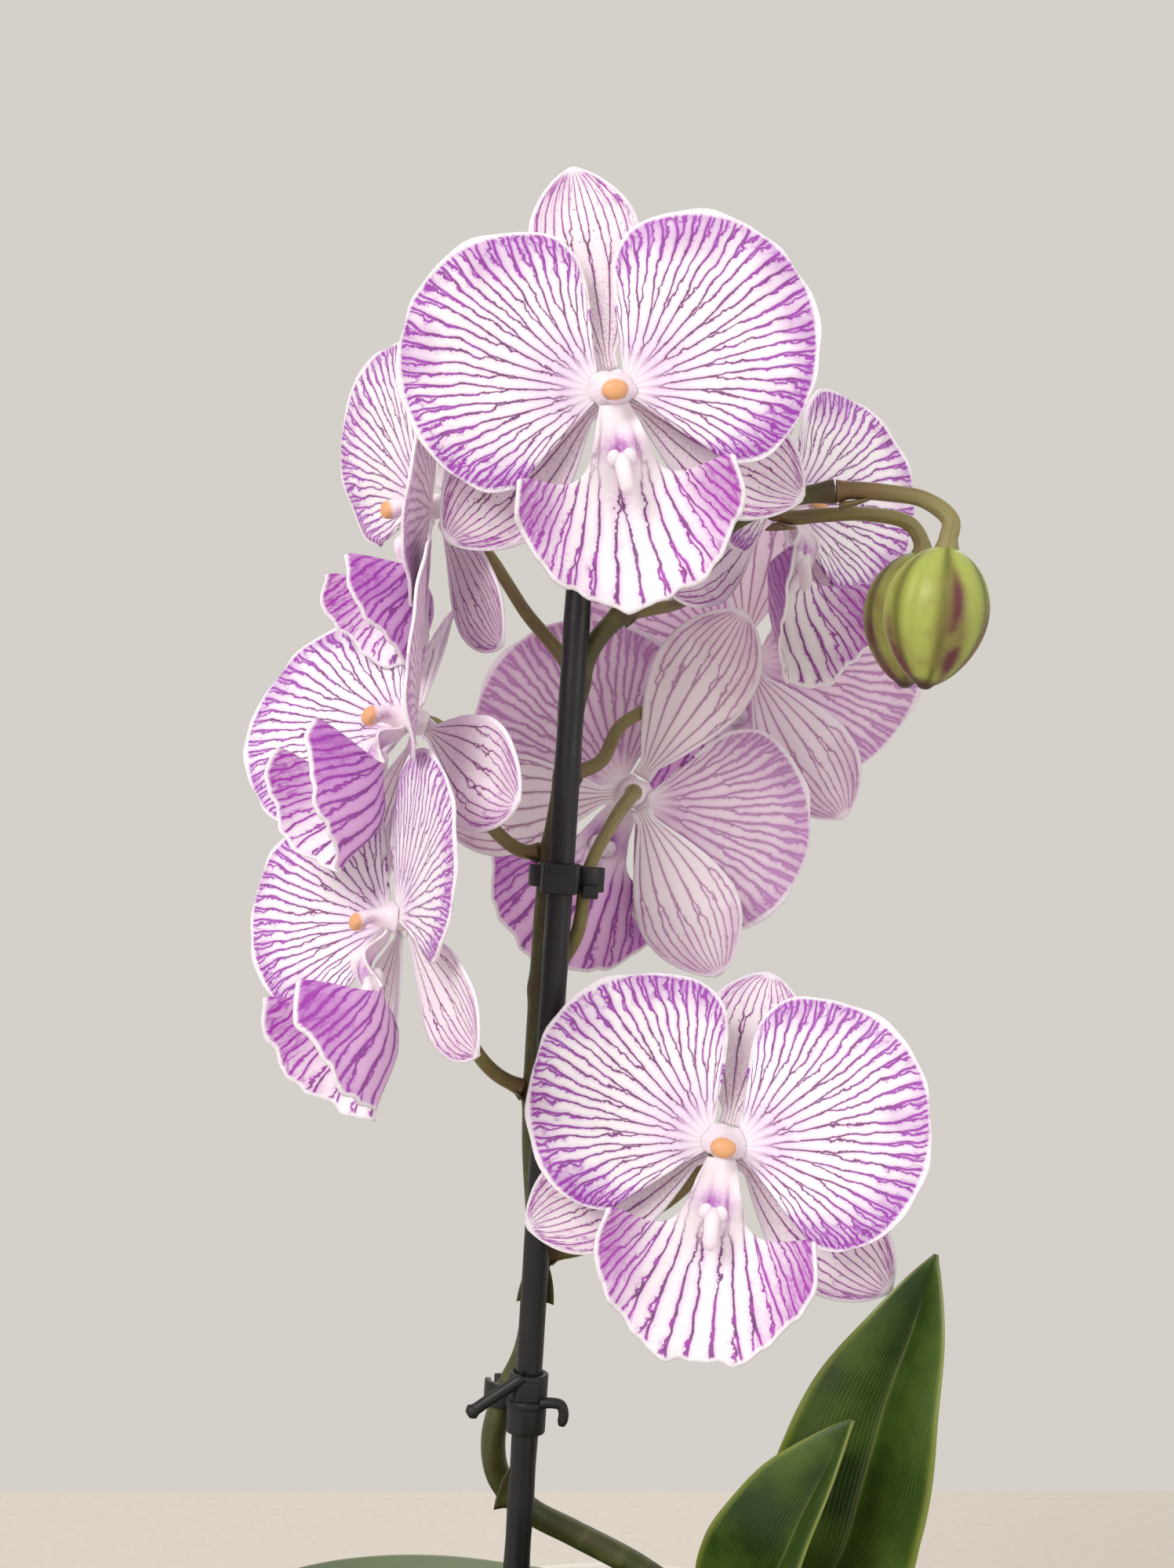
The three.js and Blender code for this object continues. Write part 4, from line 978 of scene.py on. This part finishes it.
GRIP = STAKE_RADIUS + GAP + 1.1  # outer radius of a clip's sleeve
height = 285.0
stem_off = beside(height, stem_at(height))
stalk_off = beside(height, CLIPPED)
parts = [
    sleeve_part(0, 0, 2.86, GRIP, 6.5),
    sleeve_part(*stem_off, 2.66, 4.2, 4.6),
    sleeve_part(*stalk_off, 2.5, 3.85, 5.4, (20, 42)),
    box_part((0, -GRIP + 0.6, 0), (7.4, 2.0, 6.4), 0.5),
    box_part((0, -GRIP - 0.25, 1.6), (5.0, 0.8, 1.0), 0.2),
    box_part((stalk_off[0] + 0.6, stalk_off[1] - 2.8 - 1.2, -2.6), (3.6, 2.6, 2.8), 0.5),
]
v, faces, _, _ = join_parts(parts)
new_object("clip_upper_skin", on_stake(v, height), faces, [CLIP], "clip_upper")
height = 173.7
stem_off = beside(height, stem_at(height))
hook = catmull([(2.6, -2.6, 0.6), (5.4, -2.7, 0.9), (7.2, -2.6, 0.5), (7.9, -2.6, -1.2), (7.6, -2.6, -3.8)], 26)
tail = catmull([(-1.0, -3.7, 6.2), (-4.5, -4.0, 3.7), (-8.5, -4.4, 0.8), (-12.2, -4.8, -2.0)], 26)
share = np.linspace(0, 1, 26)
hook_v, hook_f, _ = tube(hook, np.interp(share, [0, 0.9, 1], [1.15, 1.1, 0.7]))
tail_v, tail_f, _ = tube(tail, np.interp(share, [0, 0.1, 0.86, 0.93, 1], [1.0, 1.3, 1.25, 1.75, 0.9]))
parts = [
    sleeve_part(0, 0, 2.86, GRIP, 12.6),
    sleeve_part(0, 0, GRIP - 0.3, GRIP + 0.35, 1.6),
    sleeve_part(*stem_off, 3.3, 4.7, 5.2, (150, 24)),
    box_part((0, -GRIP + 0.5, 3.2), (4.6, 1.6, 4.2), 0.4),
    (hook_v, hook_f, {}, 0),
    (tail_v, tail_f, {}, 0),
]
v, faces, _, _ = join_parts(parts)
new_object("clip_lower_skin", on_stake(v, height), faces, [CLIP], "clip_lower")

# ------------------------------------------------------------------ leaves, crown and roots


def leaf_material(name, deep, light, margin):
    n = Nodes(name)
    at = n.object_position()
    across = n.attribute("across")
    run = n.attribute("run")
    mottle = n.noise(at, 70.0, 4.0)
    fine = n.noise(at, 700.0)
    # fine parallel ribs that run the length of the leaf
    ribs = n.math("COSINE", across * 120.0 + n.noise(at, 60.0) * 7.0)
    color = n.mix(n.ramp(mottle, 0.35, 0.7), deep, light)
    color = n.mix(n.ramp(ribs, 0.0, 1.0, 0.0, 0.10), color, light)
    # painted light: the half of each leaf where across is above 0 is painted up to 0.35 of the way to the light
    # green, a painted lit and glossy side beside a shaded one
    color = n.mix(n.ramp(across, 0.0, 0.5, 0.0, 0.35), color, light)
    edge = n.math("ABSOLUTE", across)
    color = n.mix(n.ramp(edge, 0.88, 0.99, 0.0, 0.75), color, margin)
    color = n.mix(n.ramp(edge, 0.05, 0.0, 0.0, 0.4), color, margin)
    color = n.mix(n.ramp(run, 0.14, 0.0, 0.0, 0.55), color, linear(122, 132, 74))
    n.bump(ribs * 0.22 + (fine * 0.3 + mottle), 0.25, 0.0005)
    return n.finish(color, mottle, (0.28, 0.42), 0.06, (0.5, 1.0, 0.3), 0.002, specular=0.5)


LEAF_TOP = leaf_material("leaf_top", linear(38, 60, 18), linear(74, 98, 30), linear(128, 138, 58))
LEAF_UNDER = leaf_material("leaf_under", linear(74, 86, 46), linear(98, 108, 62), linear(126, 120, 74))

LEAVES = [
    dict(name="leaf_right_tall", face=(-0.35, -1, 0.25), half=25, fold=48,
         line=[(29, 2, 122), (38, -1, 130), (47.5, -6, 142), (52.5, -9, 159.5), (57, -12, 178),
               (62, -14, 193), (66.5, -15, 208.5)]),
    dict(name="leaf_right_front", face=(-0.9, -0.75, 0.25), half=18, fold=46,
         line=[(24.5, -3, 121), (28, -11, 130), (34, -20, 146), (39, -24, 159.5), (43, -25.5, 168),
               (48, -26.5, 178.5)]),
    dict(name="leaf_left", face=(0.1, 0.08, 1), half=24, fold=3,
         line=[(18.6, 8.7, 119.8), (-2, 23, 119), (-26, 33, 118.6), (-60, 38, 118), (-90, 38, 113),
               (-114, 36, 102)]),
    dict(name="leaf_front_left", face=(0.1, 0.1, 1), half=22, fold=18,
         line=[(18.2, -0.3, 118), (2.6, -16.6, 123), (-12, -42, 129), (-30, -72, 129), (-44, -96, 118),
               (-54, -112, 101)]),
    dict(name="leaf_rear_right", face=(0, 0.1, 1), half=21, fold=8,
         line=[(31, 8, 117), (44, 21, 118.5), (58, 35, 119.5), (76, 49, 116), (92, 61, 104), (102, 69, 90)]),
]


def leaf_mesh(leaf, seed):
    rows, columns = 72, 41
    line = catmull(leaf["line"], rows)
    tangent = np.gradient(line, axis=0)
    tangent /= np.linalg.norm(tangent, axis=1)[:, None]
    face = np.array(leaf["face"], float)
    side = np.cross(tangent, face)
    side /= np.linalg.norm(side, axis=1)[:, None]
    up = np.cross(side, tangent)
    t = np.linspace(0, 1, rows)
    belly = np.sin(np.pi * np.clip(0.04 + 0.96 * t, 0, 0.9999) ** 0.9) ** 0.8
    half = np.maximum(leaf["half"] * belly, 0.5 + 3 * (1 - t))
    half = half * (1 + 0.025 * wander(t * 40, seed, 6.0))
    u = np.linspace(-1, 1, columns)
    fold = math.radians(leaf["fold"])
    # the halves meet in a rounded channel and roll outwards a little near their edges
    rise = np.sqrt(u * u + 0.012) - 0.1095
    rise = rise - 0.10 * np.abs(u) ** 4
    wave = 0.018 * wander(t[:, None] * 55 + u[None, :] * 3, seed + 2, 7.0) * np.abs(u)[None, :] ** 2
    p = line[:, None, :] + side[:, None, :] * (half[:, None] * u[None, :] * math.cos(fold))[..., None]
    p = p + up[:, None, :] * (half[:, None] * (rise[None, :] * math.sin(fold) + wave))[..., None]
    thickness = 0.95 * (1 - 0.55 * np.abs(u)[None, :] ** 3) * (1 - 0.35 * t[:, None])
    thickness = thickness * np.clip(smooth(1 - np.abs(u), -0.02, 0.09)[None, :], 0.15, 1)
    ds = np.gradient(p, axis=1)
    dt = np.gradient(p, axis=0)
    normal = np.cross(dt, ds)
    normal /= np.linalg.norm(normal, axis=2)[..., None] + 1e-9
    keel = 0.7 * np.exp(-(u / 0.10) ** 2)[None, :] * (1 - t[:, None])
    flip = np.mean(np.einsum("ijk,k->ij", normal, face)) > 0
    outward = normal if flip else -normal
    top = (p + outward * thickness[..., None]).reshape(-1, 3)
    under = (p - outward * (thickness + keel)[..., None]).reshape(-1, 3)
    count = len(top)
    faces = grid_faces(rows, columns)
    turned_faces = [face[::-1] for face in faces]
    first, second = (faces, turned_faces) if flip else (turned_faces, faces)
    second = [tuple(i + count for i in face) for face in second]
    pairs = [(b, a) if flip else (a, b) for a, b in border(rows, columns)]
    rim = [(a, b, b + count, a + count) for a, b in pairs]
    across = np.tile(u, rows)
    run = np.repeat(t, columns)
    values = {"across": np.concatenate([across, across]), "run": np.concatenate([run, run])}
    index = [0] * len(first) + [1] * len(second) + [0] * len(rim)
    return np.vstack([top, under]), first + second + rim, values, index


for number, leaf in enumerate(LEAVES):
    v, faces, values, index = leaf_mesh(leaf, number + 1.0)
    new_object(f"{leaf['name']}_skin", v, faces, [LEAF_TOP, LEAF_UNDER], leaf["name"], values, index)


def medium_surface(r):
    """Height of the domed medium at a distance from the pot's axis."""
    return POT_HEIGHT - 3.6 + 2.4 * (1 - (r / POT_RIM) ** 2)


crown_foot = medium_surface(CROWN_X) - 3
rows, columns = 40, 56
h, a = round_grid(rows, columns)
lump = 1 + 0.05 * np.cos(2 * a + 3 * h) + 0.05 * np.cos(5 * a - 4 * h) * (1 - h * h)
lump = lump - 0.07 * np.exp(-(np.mod(h * 2.4 + 0.15 * np.cos(a), 1) - 0.5) ** 2 / 0.01)
radius = np.sqrt(np.clip(1 - np.abs(h) ** 2.6, 0, 1)) * np.minimum(lump, 1.04)
v = np.stack([CROWN_X + 8.1 * radius * np.cos(a), CROWN_Y + 6.5 * radius * np.sin(a), crown_foot + 7.5 + 7.3 * h],
             axis=-1)
# across also carries the leaf material's painted light here, so the crown's front half is painted lighter
values = {"run": ((h + 1) / 2).ravel(), "across": (a / math.pi - 1).ravel()}
CROWN = leaf_material("crown_sheath", linear(84, 96, 48), linear(122, 128, 72), linear(132, 112, 72))
faces = grid_faces(rows, columns, wrap=True)
new_object("crown_skin", v.reshape(-1, 3), faces, [CROWN], "crown", values)


def root_material():
    n = Nodes("root_skin")
    at = n.object_position()
    mottle = n.noise(at, 320.0, 4.0)
    slow = n.noise(at, 60.0)
    color = n.mix(n.ramp(mottle, 0.35, 0.65), linear(168, 172, 158), linear(130, 142, 116))
    color = n.mix(n.ramp(slow, 0.52, 0.7, 0.0, 0.7), color, linear(128, 138, 84))
    color = n.mix(n.ramp(n.attribute("run"), 0.86, 1.0, 0.0, 0.8), color, linear(120, 92, 62))
    n.bump(mottle + slow, 0.45, 0.0006)
    return n.finish(color, mottle, (0.6, 0.8), specular=0.3)


ROOT = root_material()
ROOTS = {
    "root_front": [(21, -3, 115), (20, -14, 118), (17, -27, 118), (14, -34, 112), (13, -38, 103)],
    "root_rear": [(24, 9, 115), (24, 22, 118.5), (22, 34, 118), (19.5, 40, 112), (18.5, 42, 103)],
}
for number, (name, points) in enumerate(ROOTS.items()):
    line = catmull(points, 90)
    run = np.linspace(0, 1, 90)
    radius = 2.4 * (1 - 0.25 * run) * (1 + 0.06 * wander(run * 60, number + 1.0, 3.0))
    v, faces, values = tube(line, radius, 20)
    new_object(f"{name}_skin", v, faces, [ROOT], name, values)

# ------------------------------------------------------------------ pot and bark


def pot_material():
    n = Nodes("pot_glaze")
    at = n.object_position()
    slow = n.noise(at, 14.0, 3.0)
    fine = n.noise(at, 900.0)
    speck = n.ramp(n.voronoi(at, 420.0), 0.14, 0.05) * n.ramp(n.noise(at, 130.0, 1.0), 0.5, 0.6, 0.0, 0.45)
    color = n.mix(n.ramp(slow, 0.35, 0.7), linear(232, 228, 220), linear(222, 216, 206))
    color = n.mix(speck, color, linear(168, 154, 136))
    n.bump(fine * 0.5 + slow, 0.12, 0.0005)
    return n.finish(color, slow, (0.38, 0.5), 0.05, (1, 0.9, 0.8), 0.002, specular=0.45)


slope = (POT_RIM - POT_FOOT) / POT_HEIGHT


def wall(z):
    """Outer radius of the pot's plain wall at a height."""
    return POT_FOOT + slope * z


profile = [(0, 0.9), (40, 0.9), (41.5, 0.0), (44, 0.0), (45.2, 0.5), (45.9, 1.4), (wall(2.4) - 0.05, 2.4)]
profile += [(wall(z) - 0.02, z) for z in np.linspace(6, 101.5, 40)]
profile += [(wall(102.6), 102.6), (wall(103) + 0.5, 103.0), (wall(103.6) + 1.2, 103.5),
            (wall(104.2) + 1.6, 104.4)]
profile += [(wall(z) + 1.8, z) for z in np.linspace(105.5, 112.8, 10)]
profile += [(wall(113.9) + 1.6, 113.9), (wall(114.6) + 1.1, 114.6), (wall(115) + 0.2, 115.0),
            (wall(115) - 1.0, 115.0), (wall(115) - 1.9, 114.6), (wall(114) - 2.5, 113.8)]
profile += [(wall(z) - 2.6, z) for z in np.linspace(112, 6, 30)]
profile += [(wall(4) - 4, 3.6), (0, 3.6)]
v, faces = lathe(profile, 128)
pot = new_object("pot_skin", v, faces, [pot_material()], "pot")
bm = bmesh.new()
bm.from_mesh(pot.data)
bmesh.ops.remove_doubles(bm, verts=bm.verts, dist=1e-7)
bmesh.ops.recalc_face_normals(bm, faces=bm.faces)
bm.to_mesh(pot.data)
bm.free()
# the drain holes are cut through the floor
cutters = []
for k in range(5):
    angle = 2 * math.pi * k / 5
    x, y = 29 * math.cos(angle), 29 * math.sin(angle)
    v, f, _ = tube([(x, y, -3), (x, y, 8)], 4.5, 28)
    cutters.append((v, f, {}, 0))
v, faces, _, _ = join_parts(cutters)
mesh = bpy.data.meshes.new("drain")
mesh.from_pydata((v * MM).tolist(), [], faces)
cutter = bpy.data.objects.new("drain", mesh)
scene = bpy.context.scene
scene.collection.objects.link(cutter)
bm = bmesh.new()
bm.from_mesh(mesh)
bmesh.ops.recalc_face_normals(bm, faces=bm.faces)
bm.to_mesh(mesh)
bm.free()
m = pot.modifiers.new("drain", "BOOLEAN")
m.operation = "DIFFERENCE"
m.solver = "EXACT"
m.object = cutter
bpy.context.view_layer.update()
done = bpy.data.meshes.new_from_object(pot.evaluated_get(bpy.context.evaluated_depsgraph_get()))
pot.modifiers.clear()
pot.data = done
bpy.data.objects.remove(cutter)


def bark_material():
    n = Nodes("bark")
    at = n.object_position()
    tint = n.attribute("tint")
    grain = n.noise(at, 420.0, 5.0, 0.65)
    slow = n.noise(at, 90.0, 3.0)
    color = n.mix(tint, linear(74, 50, 34), linear(142, 104, 72))
    color = n.mix(n.ramp(grain, 0.4, 0.7, 0.0, 0.7), color, linear(46, 32, 24))
    color = n.mix(n.ramp(slow, 0.55, 0.75, 0.0, 0.35), color, linear(160, 136, 108))
    n.bump(grain + slow * 0.6, 0.8, 0.0012)
    return n.finish(color, grain, (0.72, 0.92), specular=0.25)


rng = np.random.default_rng(11)
profile = [(0, 3.9), (wall(4) - 3.1, 3.9)] + [(wall(z) - 3.05, z) for z in np.linspace(8, 106, 26)]
profile += [(r, medium_surface(r) - 3.2) for r in np.linspace(wall(108) - 3.2, 0, 40)]
v, faces = lathe(profile, 120)
r = np.hypot(v[:, 0], v[:, 1])
top = v[:, 2] > 100
inside = np.clip((wall(108) - 4 - r[top]) / 6, 0, 1)
v[top, 2] += 1.6 * np.sin(v[top, 0] * 0.55 + 1.3) * np.cos(v[top, 1] * 0.61) * inside
parts = [(v, faces, {"tint": np.full(len(v), 0.15)}, 0)]
CHIPS = 330
while len(parts) <= CHIPS:
    x, y = rng.uniform(-56, 56, 2)
    if math.hypot(x, y) > 53.5:
        continue
    if math.hypot(x - CROWN_X, y - CROWN_Y) < 11 or math.hypot(x + 21.7, y) < 6.5:
        continue
    if any(min(math.hypot(x - q[0], y - q[1]) for q in points[-2:]) < 6 for points in ROOTS.values()):
        continue
    bm = bmesh.new()
    bmesh.ops.create_icosphere(bm, subdivisions=2, radius=1.0)
    cube = np.array([tuple(q.co) for q in bm.verts])
    cube = np.sign(cube) * np.abs(cube) ** 0.62
    cube += rng.normal(0, 0.09, cube.shape)
    size = rng.uniform([3.2, 2.3, 1.0], [6.6, 4.4, 2.1])
    spin = Matrix.Rotation(rng.uniform(0, 6.28), 3, "Z") @ Matrix.Rotation(rng.normal(0, 0.35), 3, "X")
    spin = spin @ Matrix.Rotation(rng.normal(0, 0.3), 3, "Y")
    cube = (cube * size) @ np.array(spin).T
    level = medium_surface(math.hypot(x, y)) - rng.uniform(0.8, 3.2)
    cube[:, 2] = np.minimum(cube[:, 2], medium_surface(math.hypot(x, y)) + 1.2 - level)
    limit = wall(110) - 3.3
    cube += np.array([x, y, level])
    far = np.hypot(cube[:, 0], cube[:, 1])
    shrink = np.minimum(1, limit / np.maximum(far, 1e-6))
    cube[:, 0] *= shrink
    cube[:, 1] *= shrink
    faces = [tuple(q.index for q in face.verts) for face in bm.faces]
    parts.append((cube, faces, {"tint": np.full(len(cube), rng.uniform(0, 1))}, 0))
    bm.free()
v, faces, values, _ = join_parts(parts)
new_object("bark_skin", v, faces, [bark_material()], "growing_medium", values)

# ------------------------------------------------------------------ the floor it stands on


def floor_material():
    n = Nodes("pale_floor")
    at = n.object_position()
    fine = n.noise(at, 240.0, 3.0)
    color = n.mix(n.ramp(fine, 0.3, 0.7), linear(214, 207, 198), linear(218, 211, 203))
    n.bump(fine, 0.1, 0.0003)
    return n.finish(color, fine, (0.7, 0.8), specular=0.2)


mesh = bpy.data.meshes.new("floor")
corners = [(-620, -620, -0.05), (620, -620, -0.05), (620, 432, -0.05), (-620, 432, -0.05)]
below = [(x, y, -24.0) for x, y, _ in corners]
sides = [(k, k + 4, (k + 1) % 4 + 4, (k + 1) % 4) for k in range(4)]
mesh.from_pydata((np.array(corners + below) * MM).tolist(), [], [(0, 1, 2, 3), (7, 6, 5, 4), *sides])
floor = bpy.data.objects.new("floor", mesh)
floor.data.materials.append(floor_material())
scene.collection.objects.link(floor)

# ------------------------------------------------------------------ light and camera


def softbox(name, place, target, size, energy, color=(1, 1, 1)):
    data = bpy.data.lights.new(name, "AREA")
    data.shape = "DISK"
    data.size = size
    data.energy = energy
    data.color = color
    obj = bpy.data.objects.new(name, data)
    obj.location = place
    obj.rotation_euler = (Vector(target) - Vector(place)).to_track_quat("-Z", "Y").to_euler()
    scene.collection.objects.link(obj)


softbox("key", (-0.75, -1.05, 1.15), (0, 0, 0.3), 0.8, 15.0, (1.0, 0.985, 0.96))
softbox("fill", (0.95, -0.8, 0.55), (0, 0, 0.28), 0.9, 3.0, (0.97, 0.98, 1.0))
softbox("back", (0.2, 1.2, 1.0), (0, 0, 0.3), 1.0, 4.0)

camera = bpy.data.objects.new("camera", bpy.data.cameras.new("camera"))
scene.collection.objects.link(camera)
camera.data.sensor_fit = "AUTO"
camera.data.sensor_width = 36.0
camera.data.lens = 45.36
camera.location = Vector((-5, -420, 305)) * MM
camera.rotation_euler = (math.pi / 2, 0, 0)
camera.data.clip_start = 0.01
scene.camera = camera

world = bpy.data.worlds.new("studio")
scene.world = world
world.use_nodes = True
world.node_tree.nodes["Background"].inputs[0].default_value = (0.735, 0.70, 0.655, 1)
world.node_tree.nodes["Background"].inputs[1].default_value = 0.9
scene.view_settings.view_transform = "Standard"
